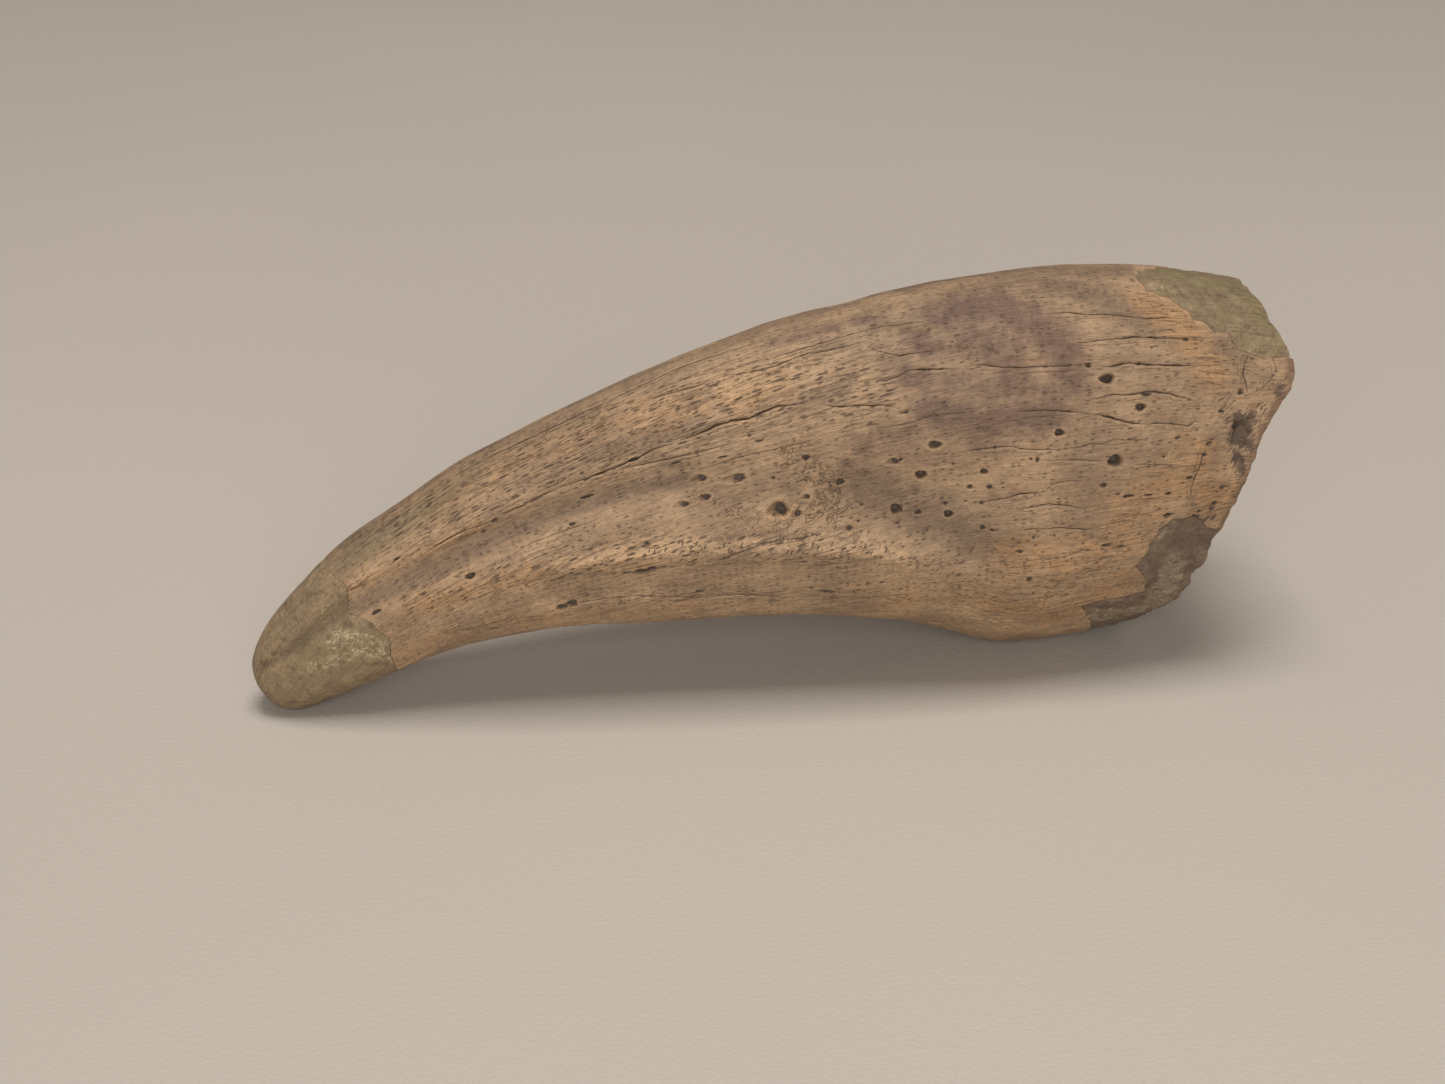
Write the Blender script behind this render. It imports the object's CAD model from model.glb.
"""Looks of the fossil theropod claw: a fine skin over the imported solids, its wear, finishes and studio.

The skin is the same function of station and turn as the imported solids, sampled finely, and carries the pores,
cracks, slits and crumbled rim. Features of the side that faces the camera are named by where they lie in the
picture and are cast onto the skin. The other side, the underside and the joint end are finished to match.
"""

import math
import random

import bmesh
import bpy
import numpy as np
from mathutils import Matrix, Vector, noise
from mathutils.bvhtree import BVHTree


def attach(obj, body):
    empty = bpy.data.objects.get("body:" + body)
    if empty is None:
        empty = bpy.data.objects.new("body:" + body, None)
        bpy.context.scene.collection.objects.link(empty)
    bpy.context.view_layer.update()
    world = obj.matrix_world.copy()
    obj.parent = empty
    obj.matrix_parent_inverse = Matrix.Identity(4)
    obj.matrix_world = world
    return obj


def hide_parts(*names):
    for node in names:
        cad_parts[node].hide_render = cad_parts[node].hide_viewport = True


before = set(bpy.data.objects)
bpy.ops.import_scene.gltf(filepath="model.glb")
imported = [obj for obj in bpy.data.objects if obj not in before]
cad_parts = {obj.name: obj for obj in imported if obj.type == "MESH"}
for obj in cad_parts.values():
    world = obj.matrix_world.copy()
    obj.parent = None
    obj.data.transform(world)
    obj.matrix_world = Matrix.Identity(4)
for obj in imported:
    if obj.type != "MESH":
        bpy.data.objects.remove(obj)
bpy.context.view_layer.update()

MM = 0.001

# The vector noise starts from the clock unless it is given a seed.
NOISE_SEED = 7
noise.seed_set(NOISE_SEED)

# Each station is one cross-section, by the line it makes in the side view and half its width.
# mm: underside x, underside z, back x, back z, half width
STATIONS = (
    (-75.6, 3.4, -75.6, 3.4, 0.0),
    (-73.4, 0.6, -76.6, 6.8, 3.0),
    (-70.0, -0.5, -75.4, 11.0, 4.7),
    (-64.8, 1.4, -72.0, 16.3, 6.0),
    (-58.3, 4.2, -66.4, 22.1, 7.1),
    (-49.3, 7.8, -57.6, 29.1, 8.5),
    (-37.3, 10.5, -44.8, 37.0, 10.2),
    (-24.3, 11.5, -30.8, 43.7, 12.0),
    (-10.3, 11.4, -16.3, 49.6, 13.8),
    (3.7, 10.5, -0.8, 54.4, 15.5),
    (15.7, 8.0, 14.7, 57.6, 17.2),
    (26.2, 4.2, 29.2, 59.4, 18.6),
    (36.2, -0.4, 42.2, 60.2, 19.4),
    (47.2, -0.4, 55.7, 59.4, 19.8),
    (58.2, 2.4, 70.2, 56.8, 19.2),
)
LAST_STATION = len(STATIONS) - 1

# Shape of a section at a station: share of its height where it is widest, and how square each half is.
WIDEST_AT = ((0, 0.50), (3, 0.46), (6, 0.42), (9, 0.36), (11, 0.37), (14, 0.44))
UNDER_SQUARENESS = ((0, 2.0), (4, 2.3), (7, 2.8), (9, 2.7), (11, 1.95), (12.5, 1.65), (14, 1.9))
BACK_SQUARENESS = ((0, 2.0), (6, 1.85), (10, 2.0), (14, 2.1))

# Relief on each side. A row is station, height share, mm sunk in (raised where negative), half breadth in mm.
NEAR_GROOVE = ((1, 0.60, 0.0, 1.4), (3, 0.71, 0.5, 1.5), (4.5, 0.73, 1.0, 1.8), (6, 0.71, 1.3, 2.2),
               (7.5, 0.70, 1.4, 3.4), (9, 0.59, 1.5, 6.5), (10.5, 0.54, 1.6, 9.0), (12, 0.52, 0.6, 9.5),
               (13, 0.52, 0.0, 9.0))
NEAR_UPPER_LIP = ((2.5, 0.82, 0.0, 1.5), (4.5, 0.85, -0.4, 1.6), (6, 0.81, -0.4, 2.0), (8, 0.82, 0.0, 2.5))
NEAR_RIDGE = ((3, 0.58, 0.0, 1.6), (5, 0.57, -0.5, 1.8), (7, 0.46, -0.9, 2.2), (9, 0.39, -1.1, 2.6),
              (10.5, 0.35, -1.1, 3.0), (12, 0.28, -0.5, 3.6), (13, 0.22, 0.0, 4.0))
FAR_GROOVE = ((1, 0.50, 0.0, 1.4), (3, 0.56, 0.6, 1.5), (4.5, 0.58, 1.2, 1.9), (6, 0.57, 1.6, 2.2),
              (7.5, 0.55, 1.8, 2.8), (9, 0.52, 1.7, 4.2), (10.5, 0.50, 1.4, 6.5), (12, 0.50, 0.5, 8.0),
              (13, 0.50, 0.0, 8.0))
FAR_UPPER_LIP = ((2.5, 0.70, 0.0, 1.6), (4.5, 0.73, -0.4, 1.8), (6.5, 0.71, -0.5, 2.2), (9, 0.70, 0.0, 3.0))
FAR_RIDGE = ((3, 0.42, 0.0, 1.6), (5, 0.42, -0.5, 1.8), (7, 0.39, -0.8, 2.2), (9, 0.35, -0.9, 2.6),
             (10.5, 0.32, -0.8, 3.0), (12, 0.26, -0.4, 3.6), (13, 0.22, 0.0, 4.0))
NEAR_RELIEF = (NEAR_GROOVE, NEAR_UPPER_LIP, NEAR_RIDGE)
FAR_RELIEF = (FAR_GROOVE, FAR_UPPER_LIP, FAR_RIDGE)

# The hollow along the middle of the underside: station, mm deep, half breadth in mm.
UNDER_HOLLOW = ((2, 0.0, 2.0), (4, 0.5, 3.0), (7, 1.1, 5.0), (9.5, 1.1, 6.5), (11, 0.0, 7.0))

# How far the rim of the joint end stands past the last station's line: height share, mm near, mm far.
RIM_BOW = ((0.0, 0.4, 1.5), (0.14, 1.0, 3.0), (0.28, 1.0, 3.8), (0.40, 1.3, 2.6), (0.54, 2.6, 3.4),
           (0.68, 3.6, 4.6), (0.78, 6.0, 6.2), (0.86, 7.9, 6.8), (0.94, 5.7, 5.6), (1.0, 3.0, 2.6))
BOW_STARTS_AT = 11.0

# Broad swells left by weathering, and the roughness of the broken rim.
LUMP_SIZE = 15 * MM
LUMP_HEIGHT = 0.45 * MM
LUMP_FULL_WIDTH = 6 * MM
RIM_BREAK_SIZE = 5 * MM
RIM_BREAK_HEIGHT = 0.8 * MM
RIM_BREAK_KEPT = 0.6
RIM_FADE = 3.3 * MM

# The joint face: share of the rim's size kept by each ring, and how deep it lies in mm.
FACE_RINGS = ((0.955, 0.2), (0.87, 2.0), (0.72, 3.9), (0.52, 5.2), (0.28, 5.9))
FACE_MIDDLE_DEPTH = 6.1 * MM
FACE_RIDGE_HALF_BREADTH = 4.5 * MM
FACE_RIDGE_SHARE = 0.45
FACE_INWARD = (-0.976, 0.0, 0.215)
# Share of the joint face along its rim that stays smooth, and mm of grain for each station inward.
FACE_SMOOTH_EDGE = 0.045
FACE_GRAIN = 2.5

# Slides the whole claw along X so that the origin is under the middle of its box.
CENTRING_SHIFT = 0.3 * MM


def smooth_curve(knots, values, at, flat_start=False):
    """Values of the smooth curve through the knots, cubic between neighbours."""
    knots = np.asarray(knots, float)
    values = np.asarray(values, float).reshape(len(knots), -1)
    at = np.clip(np.asarray(at, float), knots[0], knots[-1])
    slopes = np.gradient(values, knots, axis=0)
    if flat_start:
        slopes[0] = 0.0
    i = np.clip(np.searchsorted(knots, at, side="right") - 1, 0, len(knots) - 2)
    span = (knots[i + 1] - knots[i])[..., None]
    u = (at - knots[i])[..., None] / span
    return (
        values[i] * (1 + 2 * u) * (1 - u) ** 2
        + slopes[i] * span * u * (1 - u) ** 2
        + values[i + 1] * u**2 * (3 - 2 * u)
        + slopes[i + 1] * span * u**2 * (u - 1)
    )


def by_station(table, station):
    """The columns of a table whose first column is the station number."""
    table = np.asarray(table, float)
    return smooth_curve(table[:, 0], table[:, 1:], station)


def side_relief(tables, station, share, height):
    """How far one side's grooves and ridges move its wall in, in metres."""
    moved = np.zeros_like(share)
    for table in tables:
        centre, depth, breadth = by_station(table, station).T
        off = (share - centre) * height / (breadth * MM)
        moved += depth * MM * np.exp(-(off**2))
    return moved


def surface_points(station, turn):
    """Points of the claw's skin. The turn is 0 on the back, grows down the near side and is pi underneath."""
    numbers = np.arange(len(STATIONS))
    table = np.asarray(STATIONS) * MM
    middle = smooth_curve(numbers, (table[:, 0:2] + table[:, 2:4]) / 2, station, flat_start=True)
    half = smooth_curve(numbers, (table[:, 2:4] - table[:, 0:2]) / 2, station)
    width = smooth_curve(numbers, table[:, 4], station)[:, 0]
    widest = by_station(WIDEST_AT, station)[:, 0]
    under = by_station(UNDER_SQUARENESS, station)[:, 0]
    back = by_station(BACK_SQUARENESS, station)[:, 0]

    rise, out = np.cos(turn), np.sin(turn)
    near = out >= 0
    power = np.where(rise >= 0, back, under)
    reach = (np.abs(rise) ** power + np.abs(out) ** power) ** (-1 / power)
    share = widest + np.where(rise >= 0, 1 - widest, widest) * rise * reach
    wall = np.abs(out) * reach * width

    half_height = np.linalg.norm(half, axis=-1)
    relief = np.where(
        near,
        side_relief(NEAR_RELIEF, station, share, 2 * half_height),
        side_relief(FAR_RELIEF, station, share, 2 * half_height),
    )
    wall = wall - relief * np.clip(wall / (2 * MM), 0, 1)

    hollow_depth, hollow_breadth = by_station(UNDER_HOLLOW, station).T
    hollow = hollow_depth * MM * np.exp(-((wall / (hollow_breadth * MM)) ** 2)) * (rise < 0)

    up = half / np.maximum(half_height, 1e-9)[:, None]
    outward = np.stack([up[:, 1], -up[:, 0]], -1)
    bows = np.asarray(RIM_BOW)
    near_bow, far_bow = smooth_curve(bows[:, 0], bows[:, 1:], share).T
    midline = np.clip(0.5 + wall * np.where(near, 1, -1) / (8 * MM), 0, 1)
    bow = (near_bow * midline + far_bow * (1 - midline)) * MM
    bow = bow * np.clip((station - BOW_STARTS_AT) / (LAST_STATION - BOW_STARTS_AT), 0, 1) ** 2

    flat = middle + half * (2 * share - 1)[:, None] + up * hollow[:, None] + outward * bow[:, None]
    points = np.stack([flat[:, 0], np.where(near, -wall, wall), flat[:, 1]], -1)
    centre = np.stack([middle[:, 0], np.zeros_like(turn), middle[:, 1]], -1)
    return with_lumps(points, centre, width)


def with_lumps(points, centre, width):
    """Moves skin points out and in by the broad swells, which fade out towards the tip's pole."""
    away = points - centre
    away /= np.maximum(np.linalg.norm(away, axis=-1), 1e-9)[:, None]
    swell = np.array([noise.noise(Vector(p) / LUMP_SIZE) for p in points])
    swell = swell * LUMP_HEIGHT * np.clip(width / LUMP_FULL_WIDTH, 0, 1)
    return points + away * swell[:, None]


# Outlines of the restored areas in the side view, mm, along the joint with the bone and then outside it.
TIP_OUTLINE = ((-69.0, 30.0), (-67.6, 24.2), (-65.8, 23.2), (-63.0, 22.6), (-62.6, 18.5), (-59.5, 17.3),
               (-57.4, 14.5), (-57.0, 10.9), (-56.3, 7.0), (-55.3, 3.0), (-58.0, -8.0), (-90.0, -8.0),
               (-90.0, 30.0))
UPPER_CORNER_OUTLINE = ((54.0, 66.0), (53.1, 57.6), (54.6, 56.9), (57.1, 56.2), (59.5, 55.3), (60.9, 54.3),
                        (62.7, 53.6), (63.8, 52.7), (65.9, 52.1), (67.3, 50.6), (69.8, 49.4), (72.3, 48.9),
                        (88.0, 47.6), (88.0, 66.0))
LOWER_CORNER_OUTLINE = ((86.0, 22.4), (66.5, 22.9), (64.3, 23.3), (63.3, 23.7), (61.0, 25.9), (57.9, 25.4),
                        (55.7, 23.9), (54.4, 21.5), (53.7, 19.1), (52.6, 18.1), (55.2, 15.8), (55.3, 14.2),
                        (52.9, 13.7), (49.1, 13.3), (45.6, 12.7), (48.1, 10.8), (49.6, 8.6), (51.0, 4.0),
                        (52.0, -8.0), (86.0, -8.0))
OUTLINE_REACH = 32 * MM
OUTLINE_TRUE_AT = -16 * MM
HAIRLINE = 0.06 * MM
# How far each outline slides along X and Z for every mm across the claw, so the two sides differ.
TIP_SKEW = (0.10, 0.0)
UPPER_CORNER_SKEW = (0.12, 0.10)
LOWER_CORNER_SKEW = (0.15, -0.85)

# The camera, and the picture size that picture positions are given in.
PICTURE_WIDTH = 1445
PICTURE_HEIGHT = 1084
FOCAL_PIXELS = 2200
SENSOR_WIDTH = 36.0
CAMERA_AZIMUTH = -11.0
CAMERA_ELEVATION = 30.6
CAMERA_DISTANCE = 0.330
CAMERA_AIM = Vector((-0.0055, 0.0, 0.0205))

# How finely the skin is sampled.
BONE_FIRST_STATION = 2.4
BONE_RINGS = 218
NEAR_COLUMNS = 196
FAR_COLUMNS = 92
FACE_RING_COUNT = 30
FACE_SPAN = 10.0
FACE_MIDDLE = 0.04
SLOPE_STEP = 0.002
RIM_SAMPLES = 48
LENGTH_SAMPLES = 400
CAST_RINGS = 160
CAST_COLUMNS = 130

# Width in mm of one radian of turn, so that the grain keeps its scale along the claw.
GRAIN_SPREAD = ((0, 6.0), (3, 11.0), (6, 16.5), (9, 21.0), (11, 24.0), (14, 25.0))

# Pores of the near side: picture x, picture y, breadth in mm, stretch along the grain, depth in mm, lip and
# slant from 0 to 1.
PORES_IN_PICTURE = (
    (699, 479, 1.15, 2.0, 0.8, 0.55, 1.0), (735, 479, 1.35, 2.4, 0.8, 0.55, 1.0),
    (704, 498, 1.05, 1.9, 0.7, 0.55, 1.0), (682, 505, 1.05, 2.1, 0.6, 0.55, 1.0),
    (778, 510, 2.2, 1.35, 1.7, 1.0, 0.7), (796, 514, 1.1, 1.6, 0.7, 0.8, 0.9),
    (806, 458, 0.95, 1.1, 0.8, 0.6, 0.2), (840, 482, 1.0, 1.3, 0.9, 0.8, 0.5),
    (806, 497, 0.8, 1.5, 0.6, 0.9, 0.8), (848, 528, 0.9, 1.3, 0.6, 0.5, 0.7),
    (935, 445, 1.25, 1.5, 1.2, 0.9, 0.2), (893, 462, 1.05, 1.8, 0.8, 0.8, 0.9),
    (901, 460, 0.55, 1.0, 0.6, 0.3, 0.0), (921, 475, 1.35, 1.2, 1.4, 0.8, 0.1),
    (896, 509, 1.5, 1.05, 1.6, 0.4, 0.0), (918, 512, 0.75, 1.2, 0.8, 0.3, 0.0),
    (945, 503, 0.6, 1.2, 0.6, 0.4, 0.2), (948, 514, 1.1, 1.2, 1.2, 0.6, 0.1),
    (984, 472, 0.95, 1.2, 1.0, 0.6, 0.1), (970, 487, 0.75, 1.1, 0.8, 0.6, 0.1),
    (989, 487, 0.75, 1.1, 0.8, 0.6, 0.1), (981, 503, 0.6, 1.3, 0.6, 0.3, 0.3),
    (982, 527, 0.7, 1.2, 0.7, 0.5, 0.1), (992, 530, 0.5, 1.2, 0.5, 0.3, 0.1),
    (1020, 552, 0.7, 1.3, 0.6, 0.4, 0.4), (1029, 579, 0.8, 1.2, 0.8, 0.4, 0.2),
    (1066, 596, 0.9, 1.6, 0.8, 0.4, 0.4), (1108, 379, 1.45, 1.5, 1.5, 0.5, 0.2),
    (1142, 408, 1.25, 1.3, 1.2, 0.5, 0.3), (1060, 433, 1.1, 1.25, 1.2, 0.7, 0.0),
    (1116, 462, 1.8, 1.15, 2.0, 0.5, 0.0), (1089, 365, 0.75, 1.2, 0.8, 0.3, 0.1),
    (1138, 364, 0.7, 1.6, 0.4, 0.4, 0.9), (1242, 395, 0.75, 1.3, 0.7, 0.3, 0.0),
    (1104, 486, 0.7, 1.7, 0.6, 0.3, 0.2), (1038, 460, 0.6, 1.1, 0.6, 0.3, 0.0),
    (1031, 459, 0.45, 1.0, 0.4, 0.2, 0.0), (995, 448, 0.5, 1.2, 0.4, 0.6, 0.3),
    (1185, 338, 0.55, 1.9, 0.6, 0.2, 0.2), (1206, 456, 0.6, 1.4, 0.6, 0.2, 0.1),
    (1210, 445, 0.5, 1.6, 0.5, 0.2, 0.1), (1200, 514, 0.6, 1.5, 0.6, 0.2, 0.1),
    (861, 505, 0.5, 1.3, 0.4, 0.4, 0.4), (953, 464, 0.55, 1.0, 0.35, 0.8, 0.4),
    (897, 523, 0.5, 1.2, 0.4, 0.4, 0.3), (773, 478, 0.6, 1.2, 0.5, 0.5, 0.6),
    (838, 568, 0.5, 1.0, 0.5, 0.2, 0.0), (882, 583, 0.6, 1.2, 0.6, 0.2, 0.0),
    (811, 588, 0.5, 1.2, 0.5, 0.2, 0.0), (646, 543, 0.5, 1.5, 0.4, 0.3, 0.3),
    (1151, 347, 0.6, 1.2, 0.25, 0.8, 0.6), (1034, 538, 0.5, 1.2, 0.4, 0.2, 0.0),
    (1222, 412, 0.5, 1.8, 0.5, 0.1, 0.0), (1165, 458, 0.4, 1.3, 0.3, 0.2, 0.0),
    (858, 521, 0.5, 1.2, 0.4, 0.4, 0.2), (927, 530, 0.4, 1.2, 0.3, 0.3, 0.0),
    (910, 534, 0.4, 1.2, 0.3, 0.3, 0.0), (1213, 510, 0.8, 1.3, 0.6, 0.2, 0.1),
    (1119, 496, 0.4, 1.8, 0.3, 0.2, 0.0), (750, 436, 0.4, 1.6, 0.3, 0.2, 0.0),
    (872, 326, 0.5, 1.6, 0.3, 0.2, 0.2), (880, 301, 0.6, 1.5, 0.3, 0.3, 0.4),
    (953, 342, 0.35, 1.2, 0.2, 0.2, 0.0), (1095, 538, 0.35, 1.0, 0.3, 0.1, 0.0),
    (1055, 536, 0.4, 1.1, 0.3, 0.2, 0.2), (966, 501, 0.35, 1.4, 0.3, 0.2, 0.0),
)

# Pores: how uneven the edge is, the lip's height as a share of the half breadth, and the way out from a mouth
# that stands for far from any.
PORE_WOBBLE = 0.09
PORE_LIP = 0.16
PORE_MOUTH_FAR = 2.5
SLIT_LIP = 0.15

# Slits along the grain on the near side: picture x, picture y, length in mm, width in mm, depth in mm.
SLITS_IN_PICTURE = (
    (643, 572, 3.0, 1.3, 1.0), (652, 570, 1.6, 1.5, 1.1), (664, 567, 1.2, 0.8, 0.6),
    (628, 573, 1.8, 0.7, 0.5), (562, 608, 1.8, 1.2, 0.9), (572, 604, 1.7, 1.4, 1.0),
    (470, 576, 1.6, 0.9, 0.8), (495, 629, 1.5, 0.9, 0.6), (495, 522, 1.1, 0.6, 0.6),
    (484, 532, 0.9, 0.4, 0.5), (572, 524, 1.0, 0.5, 0.5), (587, 497, 2.2, 0.4, 0.6),
    (610, 621, 2.6, 0.9, 0.6), (700, 591, 1.4, 0.5, 0.4), (827, 592, 2.8, 0.8, 0.7),
    (634, 460, 1.5, 0.6, 0.6), (1109, 545, 1.6, 0.5, 0.6), (1122, 548, 1.0, 0.4, 0.5),
    (1172, 515, 1.9, 0.6, 0.8), (1191, 478, 1.2, 0.5, 0.6), (1171, 494, 1.1, 0.5, 0.6),
    (1223, 489, 1.2, 0.6, 0.7), (1130, 497, 1.8, 0.4, 0.5), (1150, 496, 1.4, 0.35, 0.5),
    (1148, 396, 1.7, 0.6, 0.6), (397, 560, 1.2, 0.4, 0.4), (376, 612, 1.8, 0.6, 0.5),
    (338, 605, 1.2, 0.6, 0.6), (760, 441, 1.4, 0.3, 0.4), (676, 463, 1.5, 0.3, 0.4),
    (723, 457, 1.6, 0.3, 0.4), (905, 413, 1.4, 0.3, 0.4), (1180, 440, 0.9, 0.4, 0.4),
    (1237, 430, 1.2, 0.7, 0.7), (1217, 505, 1.1, 0.7, 0.6), (1198, 519, 1.0, 0.7, 0.6),
)

# Cracks of the near side: widest opening in mm, then picture positions along the crack.
CRACKS_IN_PICTURE = (
    (0.26, ((560, 489), (584, 481), (608, 471), (634, 460), (655, 450), (675, 442))),
    (0.34, ((675, 442), (698, 435), (713, 427), (731, 421), (749, 419), (764, 412), (777, 407), (807, 404))),
    (0.20, ((820, 405), (841, 407), (860, 406), (879, 405), (900, 408))),
    (0.20, ((647, 400), (672, 393), (694, 387), (710, 381))),
    (0.22, ((720, 377), (745, 373), (772, 367), (797, 357), (805, 354), (820, 352), (841, 347), (869, 341))),
    (0.22, ((876, 381), (888, 380), (899, 377), (908, 370), (914, 369))),
    (0.30, ((911, 370), (930, 370), (951, 369))),
    (0.26, ((967, 366), (980, 365), (1000, 367), (1020, 368), (1050, 366), (1071, 365), (1087, 365))),
    (0.24, ((1092, 366), (1112, 367), (1128, 363), (1148, 365), (1168, 365), (1184, 366), (1200, 365))),
    (0.18, ((713, 563), (731, 556), (749, 548), (762, 543), (777, 540), (797, 538), (815, 535))),
    (0.14, ((575, 604), (600, 599), (636, 596), (670, 597), (703, 596))),
    (0.12, ((703, 596), (739, 594), (772, 596), (800, 600))),
    (0.22, ((429, 552), (446, 542), (469, 531), (494, 522))),
    (0.22, ((500, 517), (520, 507), (542, 497), (556, 491))),
    (0.20, ((1034, 315), (1050, 313), (1066, 312), (1090, 314), (1114, 314), (1149, 318),
            (1166, 317), (1184, 318))),
    (0.24, ((1071, 343), (1086, 342), (1101, 340), (1133, 337), (1160, 338), (1184, 338), (1197, 340))),
    (0.26, ((1087, 401), (1101, 398), (1114, 395), (1131, 397), (1149, 393), (1168, 395),
            (1189, 399), (1200, 404))),
    (0.20, ((1012, 413), (1032, 411), (1050, 411), (1074, 412), (1098, 415))),
    (0.34, ((1098, 415), (1106, 417), (1114, 419), (1128, 422), (1141, 425))),
    (0.20, ((1141, 425), (1154, 424), (1168, 425), (1189, 427), (1197, 423), (1203, 425))),
    (0.16, ((954, 454), (972, 450), (991, 448), (1007, 446), (1026, 449), (1046, 450), (1066, 449))),
    (0.15, ((1066, 449), (1085, 446), (1104, 445), (1114, 440), (1130, 441), (1150, 440))),
    (0.14, ((1039, 460), (1062, 460), (1085, 461), (1109, 461))),
    (0.12, ((1128, 463), (1154, 465), (1179, 465))),
    (0.22, ((980, 502), (992, 500), (1004, 498), (1020, 494), (1045, 492))),
    (0.15, ((1045, 492), (1053, 484), (1068, 481), (1085, 481))),
    (0.18, ((1012, 512), (1022, 509), (1034, 506), (1050, 504), (1066, 505), (1080, 508), (1093, 507))),
    (0.18, ((1015, 531), (1026, 529), (1039, 529), (1060, 528), (1085, 530), (1104, 529))),
    (0.16, ((1223, 431), (1214, 440), (1208, 446), (1205, 460), (1200, 470), (1195, 481),
            (1191, 495), (1190, 510))),
    (0.24, ((1248, 352), (1244, 364), (1243, 374), (1246, 384), (1249, 394))),
    (0.12, ((1250, 353), (1262, 350), (1272, 357), (1276, 370), (1270, 384), (1258, 394))),
    (0.20, ((940, 350), (900, 356), (880, 352), (869, 349))),
    (0.16, ((620, 470), (660, 461), (700, 452), (740, 442))),
    (0.12, ((700, 470), (745, 456), (790, 446), (830, 436))),
    (0.14, ((330, 600), (352, 590), (372, 583))),
    (0.12, ((520, 548), (560, 532), (596, 520))),
    (0.12, ((870, 430), (905, 424), (940, 414), (970, 413))),
    (0.10, ((430, 640), (470, 628), (520, 618), (560, 614))),
)

# Cracks of the underside and back, by station and turn: widest opening in mm, then places.
UNDER_CRACKS = (
    (0.18, ((5.0, 2.9), (5.8, 2.95), (6.8, 2.88), (7.6, 2.93))),
    (0.20, ((7.2, -2.85), (8.2, -2.9), (9.3, -2.8), (10.2, -2.84))),
    (0.16, ((9.6, 2.75), (10.3, 2.8), (11.0, 2.72))),
    (0.18, ((6.0, 0.12), (7.1, 0.16), (8.3, 0.1), (9.2, 0.14))),
    (0.16, ((9.8, -0.3), (10.9, -0.22), (12.0, -0.3))),
    (0.14, ((8.8, 0.34), (9.9, 0.3), (10.8, 0.35))),
)

CRACK_WANDER = 0.16 * MM
CRACK_WANDER_SIZE = 0.9 * MM
CRACK_POINT_GAP = 0.6 * MM
CRACK_PINCH_SIZE = 1.8 * MM
CRACK_REACH = 0.7 * MM
CRACK_HALF_BREADTH = 0.24 * MM
CRACK_DEPTH = 0.32 * MM

# Broken-out hollows near the rim: picture x, picture y, radius along and across in mm, depth in mm.
HOLLOWS_IN_PICTURE = (
    (1243, 430, 1.5, 1.5, 0.8), (1240, 443, 1.2, 1.6, 0.7), (1250, 424, 1.5, 0.9, 0.5),
    (1238, 458, 1.1, 1.1, 0.4), (1243, 468, 0.9, 1.1, 0.35), (1281, 392, 0.8, 1.6, 0.4),
    (1262, 408, 1.6, 0.7, 0.5), (1190, 546, 0.8, 1.2, 0.3),
)


def camera_axes():
    """Directions from the aim to the camera, to its right and up."""
    azimuth = math.radians(CAMERA_AZIMUTH)
    elevation = math.radians(CAMERA_ELEVATION)
    flat = math.cos(elevation)
    back = Vector((math.sin(azimuth) * flat, -math.cos(azimuth) * flat, math.sin(elevation)))
    right = Vector((0, 0, 1)).cross(back).normalized()
    return back, right, back.cross(right)


def linked(name, data):
    """A new object in the scene."""
    made = bpy.data.objects.new(name, data)
    bpy.context.scene.collection.objects.link(made)
    return made


def make_camera():
    data = bpy.data.cameras.new("studio_camera")
    data.sensor_width = SENSOR_WIDTH
    data.lens = FOCAL_PIXELS / PICTURE_WIDTH * SENSOR_WIDTH
    data.clip_start = 0.01
    camera = linked("studio_camera", data)
    back, _, _ = camera_axes()
    camera.location = CAMERA_AIM + back * CAMERA_DISTANCE
    camera.rotation_mode = "QUATERNION"
    camera.rotation_quaternion = (-back).to_track_quat("-Z", "Y")
    bpy.context.scene.camera = camera


def placed(points):
    """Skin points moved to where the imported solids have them."""
    return points + np.array([CENTRING_SHIFT, 0.0, 0.0])


def broken(points, height):
    """Moves points by the roughness of a broken edge."""
    return np.array([Vector(p) + height * noise.noise_vector(Vector(p) / RIM_BREAK_SIZE) for p in points])


def rim_points(turn):
    """Points of the broken rim of the joint end."""
    last = np.full_like(turn, float(LAST_STATION))
    return broken(surface_points(last, turn), RIM_BREAK_KEPT * RIM_BREAK_HEIGHT)


def field(points, size, seed):
    """Smooth noise between about -1 and 1 at points, for lumps of one size."""
    shift = Vector((seed * 7.3, seed * 3.1, seed * 5.7))
    return np.array([noise.noise(Vector(p) / size + shift) for p in points])


def grain_field(along, across, length, breadth, seed):
    """Noise drawn out along the grain, from grain positions in mm."""
    places = zip(along / length, across / breadth)
    return np.array([noise.noise(Vector((a, b, seed * 7.3))) for a, b in places])


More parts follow.
